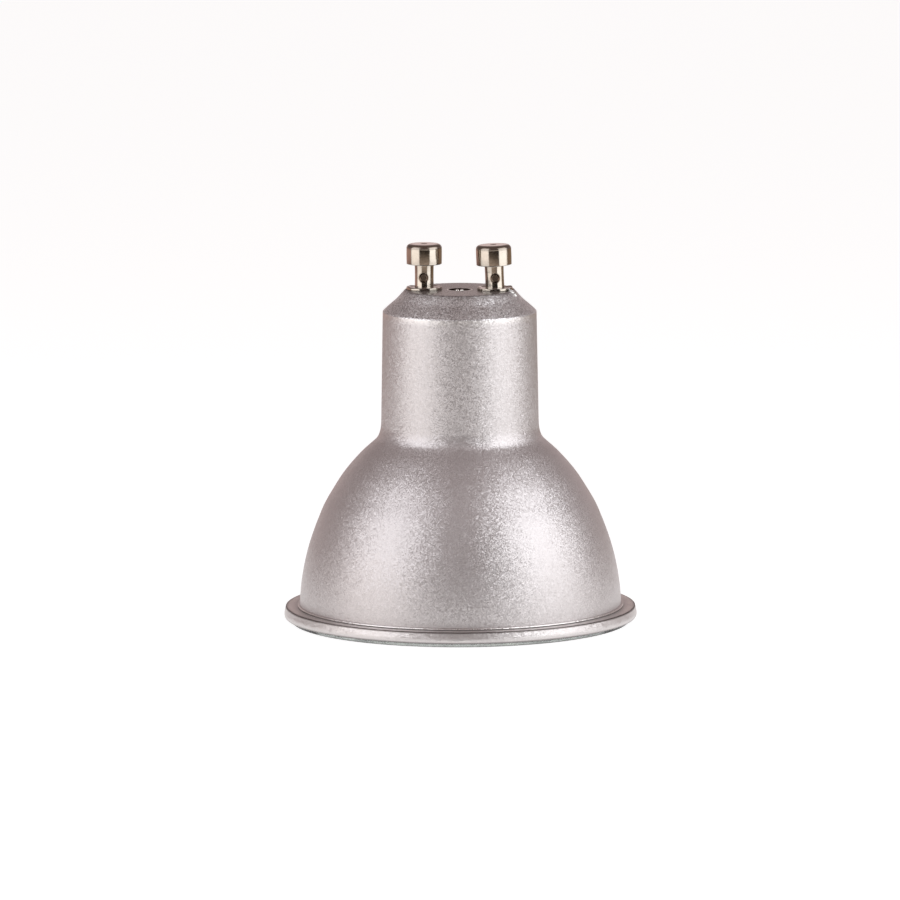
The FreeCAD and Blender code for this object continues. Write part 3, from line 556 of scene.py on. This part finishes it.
sparklePaint = {
    "base": (0.60, 0.566, 0.561), "roughness": 0.43, "roughSpread": 0.05, "metallic": 0.92,
    "flakeSize": 0.12, "flakeTilt": 0.31, "flakeSpread": 0.10, "coarseSpread": 0.72,
    "smallSize": 0.8, "smallShare": 0.75, "darker": 0.9, "lighter": 1.2,
    "grainSize": 0.14, "grainDepth": 0.006,
    # Pale tone and roughness of the painted highlights, then the dark tone of the painted shade.
    "highlightTone": (0.95, 0.92, 0.89), "highlightRoughness": 0.26, "shadeTone": (0.10, 0.08, 0.075),
    "patchSize": 4.0, "patchLeast": 0.75, "cloudSize": 9.0, "cloudSpread": 0.02,
}


def attribute(tree, name):
    return added(tree, "Attribute", attribute_name=name).outputs["Fac"]


def mixColors(tree, share, first, second):
    # first where share is 0, second where it is 1.
    first, second = [(*color, 1) if isinstance(color, tuple) else color for color in (first, second)]
    return added(tree, "Mix", {0: share, 6: first, 7: second}, data_type="RGBA").outputs[2]


def cells(tree, place, size, **settings):
    # Cells of about size millimetres: each has a random colour, and distances within it.
    return added(tree, "TexVoronoi", {"Vector": place, "Scale": 1 / (size * mm)}, **settings).outputs


def tilted(tree, normal, randomColor, tilt):
    # The normal leaned by a random vector, (colour - 0.5) * tilt, and made of length 1 again.
    lean = randomColor
    for operation, inputs in (("SUBTRACT", {1: (0.5, 0.5, 0.5)}), ("SCALE", {"Scale": tilt}),
                              ("ADD", {1: normal}), ("NORMALIZE", {})):
        lean = added(tree, "VectorMath", {0: lean, **inputs}, operation=operation).outputs[0]
    return lean


def brightness(tree, color):
    return added(tree, "SeparateColor", {"Color": color}).outputs["Red"]


def sparklePaintMaterial():
    # Metal flakes lie in the paint at slightly different slopes, so they sparkle where the light changes.
    # tone = (1 - smallShare) * large flakes + smallShare * small flakes + clouds.
    p = sparklePaint
    material, tree, shader, place = startMaterial("sparklePaint", p["base"], p["metallic"], p["roughness"])
    flakes = cells(tree, place, p["flakeSize"])["Color"]
    smallFlakes = brightness(tree, cells(tree, place, p["flakeSize"] * p["smallSize"])["Color"])
    largeTone = times(tree, brightness(tree, flakes), 1 - p["smallShare"])
    tone = math2(tree, "ADD", largeTone, times(tree, smallFlakes, p["smallShare"]))
    cloud = noise(tree, place, p["cloudSize"], 3)
    tone = math2(tree, "ADD", tone, swing(tree, cloud, -p["cloudSpread"], p["cloudSpread"]))
    fineColor, coarseColor = [ramp(tree, tone, [
        (0.05, tint(p["base"], 1 - p["darker"] * spread)), (0.45, p["base"]),
        (0.95, tint(p["base"], 1 + p["lighter"] * spread)),
    ]) for spread in (p["flakeSpread"], p["coarseSpread"])]
    color = mixColors(tree, attribute(tree, "coarse"), fineColor, coarseColor)
    # Painted highlights: where the highlight mark is set, the colour turns pale in patches and the roughness drops.
    patches = remap(tree, noise(tree, place, p["patchSize"], 2), 0.3, 0.6, p["patchLeast"], 1.0)
    highlightShare = times(tree, attribute(tree, "wear"), patches)
    color = mixColors(tree, highlightShare, color, p["highlightTone"])
    # Painted shade: where the shade mark is set, the colour turns dark.
    color = mixColors(tree, attribute(tree, "shade"), color, p["shadeTone"])
    gloss = times(tree, highlightShare, p["highlightRoughness"] - p["roughness"])
    mixed = remap(tree, smallFlakes, 0, 1, p["roughness"] - p["roughSpread"], p["roughness"] + p["roughSpread"])
    gloss = math2(tree, "ADD", gloss, mixed)
    grain = bump(tree, noise(tree, place, p["grainSize"], 3, 0.65), p["grainDepth"])
    feed(tree, shader, color, gloss, tilted(tree, grain, flakes, p["flakeTilt"]))
    return material


def plainFinish(name, base, metallic, roughness, spread, roughSpread, grain, depth, cloud, stretch=None):
    # Even finish with three scales of detail: cloudy colour, uneven gloss and a fine relief.
    material, tree, shader, place = startMaterial(name, base, metallic, roughness)
    clouds = noise(tree, place, cloud, 4, 0.6)
    color = ramp(tree, clouds, [(0.3, tint(base, 1 - spread)), (0.7, tint(base, 1 + spread))])
    fine = noise(tree, place, grain, 3, 0.6, stretch)
    low = max(0.02, roughness - roughSpread)
    feed(tree, shader, color, swing(tree, fine, low, roughness + roughSpread), bump(tree, fine, depth))
    return material


def dress(node, material):
    data = nodes[node].data
    if len(data.materials) == 0:
        data.materials.append(material)
    for slotIndex in range(len(data.materials)):
        data.materials[slotIndex] = material


nickelPlate = {
    "base": (0.475, 0.428, 0.372), "paintedDark": (0.10, 0.062, 0.040), "roughness": 0.11, "paintedDarkRoughness": 0.18,
    "waveSize": 1.1, "waveDepth": 0.010, "cloudSize": 1.4,
    "fineSize": 0.25, "fineDepth": 0.002, "fineStretch": (1, 1, 3),
}


def nickelPlateMaterial():
    # Plating over turned brass: warm, with painted shade in the crimps and a painted dark reflection round the head's
    # shoulder, both also rougher, and a surface that is not quite even.
    p = nickelPlate
    material, tree, shader, place = startMaterial("nickelPlate", p["base"], 1.0, p["roughness"])
    clouds = noise(tree, place, p["cloudSize"], 4, 0.6)
    color = ramp(tree, clouds, [(0.3, tint(p["base"], 0.9)), (0.55, p["base"]), (0.75, tint(p["base"], 1.07))])
    paintedDarkShare = attribute(tree, "shade")
    # Painted shade in the crimps and a painted dark reflection on the head's shoulder, darker and rougher where the
    # mark is set.
    color = mixColors(tree, paintedDarkShare, color, p["paintedDark"])
    fine = noise(tree, place, p["fineSize"], 3, 0.6, p["fineStretch"])
    gloss = swing(tree, fine, p["roughness"] - 0.03, p["roughness"] + 0.05)
    gloss = math2(tree, "ADD", gloss, times(tree, paintedDarkShare, p["paintedDarkRoughness"]))
    wave = bump(tree, noise(tree, place, p["waveSize"], 2, 0.5), p["waveDepth"])
    feed(tree, shader, color, gloss, bump(tree, fine, p["fineDepth"], wave))
    return material


def mapped(tree, place, location=(0, 0, 0), scale=(1, 1, 1)):
    # The place moved by minus location in millimetres, then scaled.
    shift = tuple(-v * mm * k for v, k in zip(location, scale))
    return added(tree, "Mapping", {"Vector": place, "Location": shift, "Scale": scale}).outputs["Vector"]


def parted(tree, vector):
    return added(tree, "SeparateXYZ", {0: vector}).outputs


def axisParts(tree, place, centre=(0, 0)):
    # Distance from an axis along Z, in millimetres, and the height, in millimetres.
    flat = added(tree, "VectorMath", {0: mapped(tree, place, (*centre, 0), (1, 1, 0))}, operation="LENGTH")
    return times(tree, flat.outputs["Value"], 1 / mm), times(tree, parted(tree, place)["Z"], 1 / mm)


capPlastic = {
    "base": (0.145, 0.124, 0.116), "roughness": 0.24,
    "holeShadeTone": (0.035, 0.022, 0.016), "rimHighlightTone": (0.62, 0.57, 0.54), "holeR": 1.52, "rimW": 0.42, "holeDepth": 1.5,
}


def capPlasticMaterial():
    # Smooth moulding, with painted shade down the screw hole and a painted highlight in a pale ring round the hole's
    # rim.
    p = capPlastic
    material, tree, shader, place = startMaterial(
        "capPlastic", p["base"], 0.0, p["roughness"], Specular_IOR_Level=0.26)
    clouds = noise(tree, place, 2.5, 4, 0.6)
    color = ramp(tree, clouds, [(0.3, tint(p["base"], 0.93)), (0.7, tint(p["base"], 1.07))])
    away, height = axisParts(tree, place)
    holeR, holeFoot = p["holeR"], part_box("base_cap")[1].z / mm - p["holeDepth"]
    # Painted highlight: a pale ring round the hole's rim.
    rim = times(tree, remap(tree, away, holeR + p["rimW"], holeR + p["rimW"] * 0.6, 0, 1),
                remap(tree, away, holeR + 0.1, holeR + 0.15, 0, 1))
    color = mixColors(tree, rim, color, p["rimHighlightTone"])
    # Painted shade: dark down inside the screw hole.
    holeShade = times(tree, remap(tree, away, holeR + 0.14, holeR + 0.1, 0, 1),
                 remap(tree, height, holeFoot - 0.1, holeFoot, 0, 1))
    color = mixColors(tree, holeShade, color, p["holeShadeTone"])
    fine = noise(tree, place, 0.4, 3, 0.6)
    feed(tree, shader, color, swing(tree, fine, p["roughness"] - 0.04, p["roughness"] + 0.06),
         bump(tree, fine, 0.003))
    return material


clearPlastic = {
    "base": (0.92, 0.95, 0.925), "rimShadeTone": (0.004, 0.005, 0.004), "roughness": 0.07, "ior": 1.49,
    "rimR": 23.2, "rimH": 0.6, "lineH": 0.17, "dimpleSize": 1.3, "dimpleDepth": 0.10, "windowR": 20.0,
}


def clearPlasticMaterial():
    # Clear moulding with small dimples over its window, and painted shade along both edges of the rim.
    p = clearPlastic
    material, tree, shader, place = startMaterial(
        "clearPlastic", p["base"], 0.0, p["roughness"], Transmission_Weight=1.0, IOR=p["ior"])
    away, height = axisParts(tree, place)
    # Painted shade: dark lines along the rim's lower and upper edges, a little uneven.
    rimLow = remap(tree, height, p["lineH"], p["lineH"] * 0.4, 0, 1)
    rimHigh = remap(tree, height, p["rimH"] - p["lineH"] * 1.6, p["rimH"] - p["lineH"], 0, 1)
    onRim = remap(tree, away, p["rimR"], p["rimR"] + 0.4, 0, 1)
    rimShade = times(tree, math2(tree, "MAXIMUM", rimLow, rimHigh), onRim)
    rimShade = times(tree, rimShade, remap(tree, noise(tree, place, 0.5, 3), 0.3, 0.6, 0.9, 1.0))
    clouds = ramp(tree, noise(tree, place, 6, 3), [(0.3, tint(p["base"], 0.96)), (0.7, p["base"])])
    color = mixColors(tree, rimShade, clouds, p["rimShadeTone"])
    fine = noise(tree, place, 0.6, 2)
    dimples = cells(tree, mapped(tree, place, scale=(1, 1, 0)), p["dimpleSize"], feature="SMOOTH_F1")
    onWindow = times(tree, remap(tree, height, 0.7, 0.5, 0, 1),
                     remap(tree, away, p["windowR"] + 0.2, p["windowR"] - 0.2, 0, 1))
    relief = times(tree, dimples["Distance"], onWindow)
    feed(tree, shader, color, swing(tree, fine, p["roughness"] - 0.03, p["roughness"] + 0.04),
         bump(tree, relief, p["dimpleDepth"]))
    return material


def bareFleckMaterial():
    # Bare metal, with dark olive and brown spots scattered by noise.
    material, tree, shader, place = startMaterial("bareFleck", (0.8, 0.8, 0.76), 0.8, 0.3)
    spots = noise(tree, place, 0.5, 3, 0.6)
    color = ramp(tree, spots, [(0.33, (0.12, 0.10, 0.06)), (0.40, (0.22, 0.25, 0.17)),
                               (0.46, (0.75, 0.76, 0.72)), (0.6, (0.95, 0.95, 0.93))])
    feed(tree, shader, color, swing(tree, spots, 0.4, 0.22), bump(tree, spots, 0.05))
    return material


boardFaces = {
    "driver_board": {"name": "boardLaminate", "base": (0.028, 0.20, 0.075), "trackTone": (0.05, 0.30, 0.12),
                     "pitch": 1.7, "plane": (1, 0, 1)},
    "led_board": {"name": "ledBoardFace", "base": (0.80, 0.80, 0.78), "trackTone": (0.86, 0.86, 0.845),
                  "pitch": 3.4, "plane": (1, 1, 0)},
}


def boardMaterial(name, base, trackTone, pitch, plane):
    # Resist over copper: tracks show as paler angular islands, with the cloth's weave under them.
    # plane has 0 for the axis that the board's thickness runs along.
    material, tree, shader, place = startMaterial(name, base, 0.0, 0.32)
    flat = mapped(tree, place, scale=plane)
    islands = cells(tree, flat, pitch, distance="MANHATTAN", feature="DISTANCE_TO_EDGE")
    tracks = remap(tree, islands["Distance"], 0.06, 0.09, 0, 1)
    weave = noise(tree, place, 0.35, 2, 0.6)
    relief = math2(tree, "ADD", tracks, times(tree, weave, 0.25))
    color = mixColors(tree, tracks, base, trackTone)
    feed(tree, shader, color, swing(tree, weave, 0.25, 0.40), bump(tree, relief, 0.03))
    return material


canFinish = {
    "sleeve": ((0.016, 0.018, 0.026), (0.03, 0.032, 0.042)), "stripeTone": (0.42, 0.44, 0.47),
    "crownTone": (0.75, 0.75, 0.76), "stripeHalfW": 0.7, "crownIn": 0.5,
}


def canMaterial(name, node):
    # Shrink sleeve with a pale stripe down one side; the can's aluminium shows at the top.
    p = canFinish
    low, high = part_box(node)
    centre = ((low.x + high.x) / 2 / mm, (low.y + high.y) / 2 / mm)
    radius = (high.x - low.x) / 2 / mm
    material, tree, shader, place = startMaterial(name, (0.02, 0.022, 0.03), 0.0, 0.28)
    away, height = axisParts(tree, place, centre)
    fromAxis = parted(tree, mapped(tree, place, (*centre, 0)))
    sideways = math2(tree, "ABSOLUTE", times(tree, fromAxis["X"], 1 / mm), 0)
    front = remap(tree, times(tree, fromAxis["Y"], -1 / mm), 0, 0.1, 0, 1)
    stripe = times(tree, remap(tree, sideways, p["stripeHalfW"] + 0.05, p["stripeHalfW"], 0, 1), front)
    smudge = noise(tree, place, 1.5, 4)
    sleeve = ramp(tree, smudge, list(zip((0.3, 0.7), p["sleeve"])))
    color = mixColors(tree, stripe, sleeve, p["stripeTone"])
    crown = times(tree, remap(tree, height, high.z / mm - 0.05, high.z / mm - 0.02, 0, 1),
                  remap(tree, away, radius - p["crownIn"], radius - p["crownIn"] - 0.05, 0, 1))
    color = mixColors(tree, crown, color, p["crownTone"])
    tree.links.new(crown, shader.inputs["Metallic"])
    feed(tree, shader, color, swing(tree, smudge, 0.22, 0.36), bump(tree, smudge, 0.02))
    return material


def windingMaterial(pitch=0.3):
    # Enamelled wire wound in rows pitch mm apart: bands along Z, each a round wire in the relief.
    material, tree, shader, place = startMaterial("windingCopper", (0.55, 0.22, 0.08), 1.0, 0.28)
    bands = {"Vector": place, "Scale": math.pi / (10 * pitch * mm), "Distortion": 0.6}
    wire = added(tree, "TexWave", bands, bands_direction="Z").outputs["Fac"]
    tone = ramp(tree, wire, [(0.0, (0.16, 0.05, 0.02)), (0.5, (0.55, 0.21, 0.075)), (1.0, (0.68, 0.30, 0.12))])
    feed(tree, shader, tone, swing(tree, noise(tree, place, 0.8, 3), 0.2, 0.36), bump(tree, wire, 0.12))
    return material


def resistorMaterial():
    # Coated body with four coloured rings along its length, as such a resistor has.
    low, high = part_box("fuse_resistor")
    body = (0.30, 0.46, 0.42)
    material, tree, shader, place = startMaterial("resistorCoat", body, 0.0, 0.38)
    share = remap(tree, parted(tree, place)["Z"], low.z, high.z, 0, 1)
    color = ramp(tree, share, [
        (0.0, body), (0.30, (0.30, 0.02, 0.015)), (0.36, body), (0.43, (0.02, 0.02, 0.02)), (0.49, body),
        (0.56, (0.25, 0.12, 0.04)), (0.62, body), (0.70, (0.60, 0.42, 0.12)), (0.76, body),
    ], constant=True)
    rough = noise(tree, place, 0.5, 3)
    feed(tree, shader, color, swing(tree, rough, 0.3, 0.46), bump(tree, rough, 0.04))
    return material


def ledMaterial():
    # Yellow phosphor under a clear coat, mottled by the powder in it.
    material, tree, shader, place = startMaterial(
        "ledPhosphor", (0.85, 0.66, 0.12), 0.0, 0.3, Coat_Weight=0.6, Coat_Roughness=0.08)
    powder = noise(tree, place, 0.12, 3, 0.7)
    color = ramp(tree, powder, [(0.3, (0.78, 0.56, 0.08)), (0.7, (0.92, 0.76, 0.22))])
    feed(tree, shader, color, swing(tree, powder, 0.24, 0.38), bump(tree, powder, 0.01))
    return material


nickel = nickelPlateMaterial()
for pin in pins:
    pin.data.materials.append(nickel)
housingSkin.data.materials.append(sparklePaintMaterial())
fleck.data.materials.append(bareFleckMaterial())

# Even finishes, each with its pieces: base colour, metallic, roughness, spread of the colour, spread of the
# roughness, size and depth of the grain, size of the clouds. The rolled sheet's scratches are long in X.
evenFinishes = {
    "zincSteel": (("board_screws",), (0.82, 0.79, 0.75), 1.0, 0.16, 0.08, 0.06, 0.3, 0.006, 0.8),
    "chipBody": (("bridge_rectifier", "driver_chip", "chip_resistors"),
                 (0.022, 0.022, 0.024), 0.0, 0.55, 0.12, 0.08, 0.15, 0.012, 0.9),
    "leadWhite": (("mains_lead_left", "mains_lead_right"),
                  (0.78, 0.77, 0.74), 0.0, 0.42, 0.03, 0.06, 0.5, 0.010, 2.0),
    "sleevePlastic": (("driver_sleeve",), (0.80, 0.79, 0.74), 0.0, 0.45, 0.04, 0.08, 0.6, 0.012, 3.0),
    "ferrite": (("inductor_core",), (0.05, 0.048, 0.047), 0.25, 0.50, 0.15, 0.10, 0.2, 0.020, 1.0),
    "leadRed": (("led_lead_positive",), (0.52, 0.025, 0.018), 0.0, 0.38, 0.06, 0.06, 0.5, 0.010, 2.0),
    "leadBlack": (("led_lead_negative",), (0.02, 0.02, 0.021), 0.0, 0.38, 0.12, 0.06, 0.5, 0.010, 2.0),
    "pressedSheet": (("heat_plate",), (0.70, 0.70, 0.69), 1.0, 0.34, 0.06, 0.10, 0.35, 0.010, 5.0, (0.05, 1, 1)),
    "padSilicone": (("thermal_pad",), (0.70, 0.70, 0.76), 0.0, 0.75, 0.05, 0.08, 0.3, 0.020, 1.5),
}
for finishName, (wearers, *values) in evenFinishes.items():
    finish = plainFinish(finishName, *values)
    for wearer in wearers:
        dress(wearer, finish)
screwPiece.data.materials.append(bpy.data.materials["zincSteel"])
dress("base_cap", capPlasticMaterial())
dress("lens", clearPlasticMaterial())
for board, face in boardFaces.items():
    dress(board, boardMaterial(**face))
dress("input_capacitor", canMaterial("inputCan", "input_capacitor"))
dress("output_capacitor", canMaterial("outputCan", "output_capacitor"))
dress("inductor_winding", windingMaterial())
dress("fuse_resistor", resistorMaterial())
dress("led_chips", ledMaterial())
print("finishes made")


# The studio: two softboxes, a pale table, a bright backdrop and dark cards out of the picture.
studio = {
    "cameraAzimuth": 4.6, "cameraElevation": 7.93, "cameraDistance": 1200.0, "aimHeight": 28.0, "cameraRoll": -0.17,
    "lens": 339.4, "sensor": 36.0, "shiftX": -9.98 / 900, "shiftY": -25.8 / 900, "clip": (50.0, 60000.0),
    "boxDistance": 260.0, "boxHeight": 380.0,
    "leftBox": {"azimuth": -61.0, "width": 280.0, "level": 1.74, "tint": (0.965, 1.0, 1.045),
                "lowTint": (1.0, 0.855, 0.73), "rise": 90.0, "lowShare": 0.43, "highShare": 1.0},
    "rightBox": {"azimuth": 66.5, "width": 312.0, "level": 1.97, "tint": (0.955, 1.0, 1.04),
                 "lowTint": (1.0, 0.965, 0.93), "rise": 120.0, "lowShare": 0.55, "highShare": 1.10},
    "topLevel": 0.30, "frontLevel": 0.04, "backLevel": 0.8, "worldTint": (1.0, 0.80, 0.78),
    "backFrom": (0.75, 0.9), "backLow": (0.24, 0.17), "frontFrom": (-0.2, -0.8), "frontLow": (0.5, 0.15),
    "floorSize": 30000.0, "floorTone": 0.36, "floorGlow": 0.87, "floorDrop": 0.02,
    "cardReach": (190, 260, 340, 420, 600, 900, 1600, 14000), "cardSteps": 40, "cardHeight": 0.4,
    "frontCard": {"from": -32, "to": 36, "tint": (1.0, 0.80, 0.66),
                  "tones": (0.75, 0.54, 0.29, 0.15, 0.04, 0.01, 0.0, 0.0)},
    "leftCard": {"from": -180, "to": -94, "tint": (1.0, 0.66, 0.58),
                 "tones": (0.15, 0.20, 0.45, 0.62, 0.60, 0.5, 0.34, 0.25)},
    "rightCard": {"from": 90, "to": 180, "tint": (1.0, 0.72, 0.52),
                  "tones": (0.15, 0.18, 0.27, 0.36, 0.34, 0.26, 0.18, 0.18)},
}


def aroundLamp(azimuth, distance, height):
    a = math.radians(studio["cameraAzimuth"] + azimuth)
    return Vector((math.sin(a) * distance, -math.cos(a) * distance, height)) * mm


def lookFrom(obj, spot, target):
    obj.location = spot
    obj.rotation_mode = "QUATERNION"
    obj.rotation_quaternion = (target - spot).to_track_quat("-Z", "Y")


def makeCamera():
    s = studio
    data = bpy.data.cameras.new("camera")
    data.lens = s["lens"]
    data.sensor_width = s["sensor"]
    data.shift_x = s["shiftX"]
    data.shift_y = s["shiftY"]
    data.clip_start, data.clip_end = [v * mm for v in s["clip"]]
    camera = placed("camera", data)
    elevation = math.radians(s["cameraElevation"])
    aim = Vector((0, 0, s["aimHeight"] * mm))
    out = s["cameraDistance"] * math.cos(elevation)
    up = s["cameraDistance"] * math.sin(elevation)
    lookFrom(camera, aroundLamp(0, out, up) + aim, aim)
    camera.rotation_quaternion @= Quaternion((0, 0, 1), math.radians(s["cameraRoll"]))
    bpy.context.scene.camera = camera


def makeSoftbox(name, azimuth, width, level, tint, lowTint, rise, lowShare, highShare):
    # A radiance of 1 from an area lamp takes pi watts for each square metre.
    # Near the table the cloth is dimmer, and warmed by what stands there.
    s = studio
    data = bpy.data.lights.new(name, "AREA")
    data.shape = "RECTANGLE"
    data.size = width * mm
    data.size_y = s["boxHeight"] * mm
    data.energy = level * math.pi * data.size * data.size_y
    data.color = tint
    lamp = placed(name, data)
    data.use_nodes = True
    tree = data.node_tree
    position = added(tree, "NewGeometry").outputs["Position"]
    share = remap(tree, parted(tree, position)["Z"], 0, rise * mm, 0, 1)
    glow = tree.nodes["Emission"]
    tree.links.new(mixColors(tree, share, lowTint, (1.0, 1.0, 1.0)), glow.inputs["Color"])
    tree.links.new(remap(tree, share, 0, 1, lowShare, highShare), glow.inputs["Strength"])
    spot = aroundLamp(azimuth, s["boxDistance"], s["boxHeight"] / 2)
    lookFrom(lamp, spot, Vector((0, 0, spot.z)))
    lamp.visible_camera = False


def emptyMaterial(name):
    material = bpy.data.materials.new(name)
    material.use_nodes = True
    material.node_tree.nodes.clear()
    return material, material.node_tree


def makeCard(name, card):
    # A card flat on the table and out of the picture: a ring sector whose tone changes with its distance.
    # Only reflections see it. It puts the dark stripes in the plated pins.
    s = studio
    rows, columns = len(s["cardReach"]), s["cardSteps"]
    azimuth = np.radians(s["cameraAzimuth"] + np.linspace(card["from"], card["to"], columns))
    reach = np.array(s["cardReach"])[:, None] * mm
    height = np.full((rows, columns), s["cardHeight"] * mm)
    points = np.stack([reach * np.sin(azimuth), -reach * np.cos(azimuth), height], -1).reshape(-1, 3)
    index = np.arange(rows * columns).reshape(rows, columns)
    faces = np.stack([index[:-1, :-1], index[1:, :-1], index[1:, 1:], index[:-1, 1:]], -1).reshape(-1, 4)
    mesh = bpy.data.meshes.new(name)
    mesh.from_pydata(points.tolist(), [], faces.tolist())
    field = mesh.attributes.new("tone", "FLOAT", "POINT")
    field.data.foreach_set("value", np.repeat(np.array(card["tones"], np.float32), columns))
    board = placed(name, mesh)
    board.visible_camera = board.visible_diffuse = board.visible_shadow = board.visible_transmission = False
    material, tree = emptyMaterial(name)
    glow = added(tree, "Emission", {"Color": (*card["tint"], 1), "Strength": attribute(tree, "tone")})
    added(tree, "OutputMaterial", {"Surface": glow.outputs[0]})
    mesh.materials.append(material)


def makeFloor():
    # A sheet that takes the light, and glows to camera, glossy and transmission rays alone.
    s = studio
    half = s["floorSize"] / 2 * mm
    mesh = bpy.data.meshes.new("floor")
    mesh.from_pydata([(-half, -half, 0), (half, -half, 0), (half, half, 0), (-half, half, 0)], [], [(0, 1, 2, 3)])
    floor = placed("floor", mesh)
    floor.location.z = -s["floorDrop"] * mm
    material, tree = emptyMaterial("paleFloor")
    sheet = added(tree, "BsdfDiffuse", {"Color": (s["floorTone"],) * 3 + (1,)})
    rays = added(tree, "LightPath").outputs
    seen = math2(tree, "ADD", rays["Is Camera Ray"], rays["Is Glossy Ray"])
    seen = math2(tree, "ADD", seen, rays["Is Transmission Ray"])
    seen = math2(tree, "MINIMUM", seen, 1.0)
    glow = added(tree, "Emission", {"Strength": times(tree, seen, s["floorGlow"])})
    both = added(tree, "AddShader", {0: sheet.outputs[0], 1: glow.outputs[0]})
    added(tree, "OutputMaterial", {"Surface": both.outputs[0]})
    mesh.materials.append(material)


def makeWorld():
    # Dim overhead, dark low down in front of the lamp, with a narrow bright backdrop behind it:
    # level = topLevel + back + front, by how far the way points behind the lamp and how low it is.
    s = studio
    world = bpy.data.worlds.new("studio")
    world.use_nodes = True
    tree = world.node_tree
    way = added(tree, "TexCoord").outputs["Generated"]
    up = parted(tree, way)["Z"]
    behind = added(tree, "VectorMath", {0: way, 1: aroundLamp(180, 1000, 0)}, operation="DOT_PRODUCT")
    share = behind.outputs["Value"]
    back = times(tree, remap(tree, share, *s["backFrom"], 0, s["backLevel"] - s["topLevel"]),
                 remap(tree, up, *s["backLow"], 0, 1))
    front = times(tree, remap(tree, share, *s["frontFrom"], 0, s["frontLevel"] - s["topLevel"]),
                  remap(tree, up, *s["frontLow"], 0, 1))
    level = math2(tree, "ADD", math2(tree, "ADD", back, front), s["topLevel"])
    background = tree.nodes["Background"]
    background.inputs["Color"].default_value = (*s["worldTint"], 1)
    tree.links.new(level, background.inputs["Strength"])
    bpy.context.scene.world = world


makeCamera()
makeSoftbox("softboxLeft", **studio["leftBox"])
makeSoftbox("softboxRight", **studio["rightBox"])
makeFloor()
for card in ("frontCard", "leftCard", "rightCard"):
    makeCard(card, studio[card])
makeWorld()
bpy.context.scene.view_settings.view_transform = "Standard"
print("studio set")
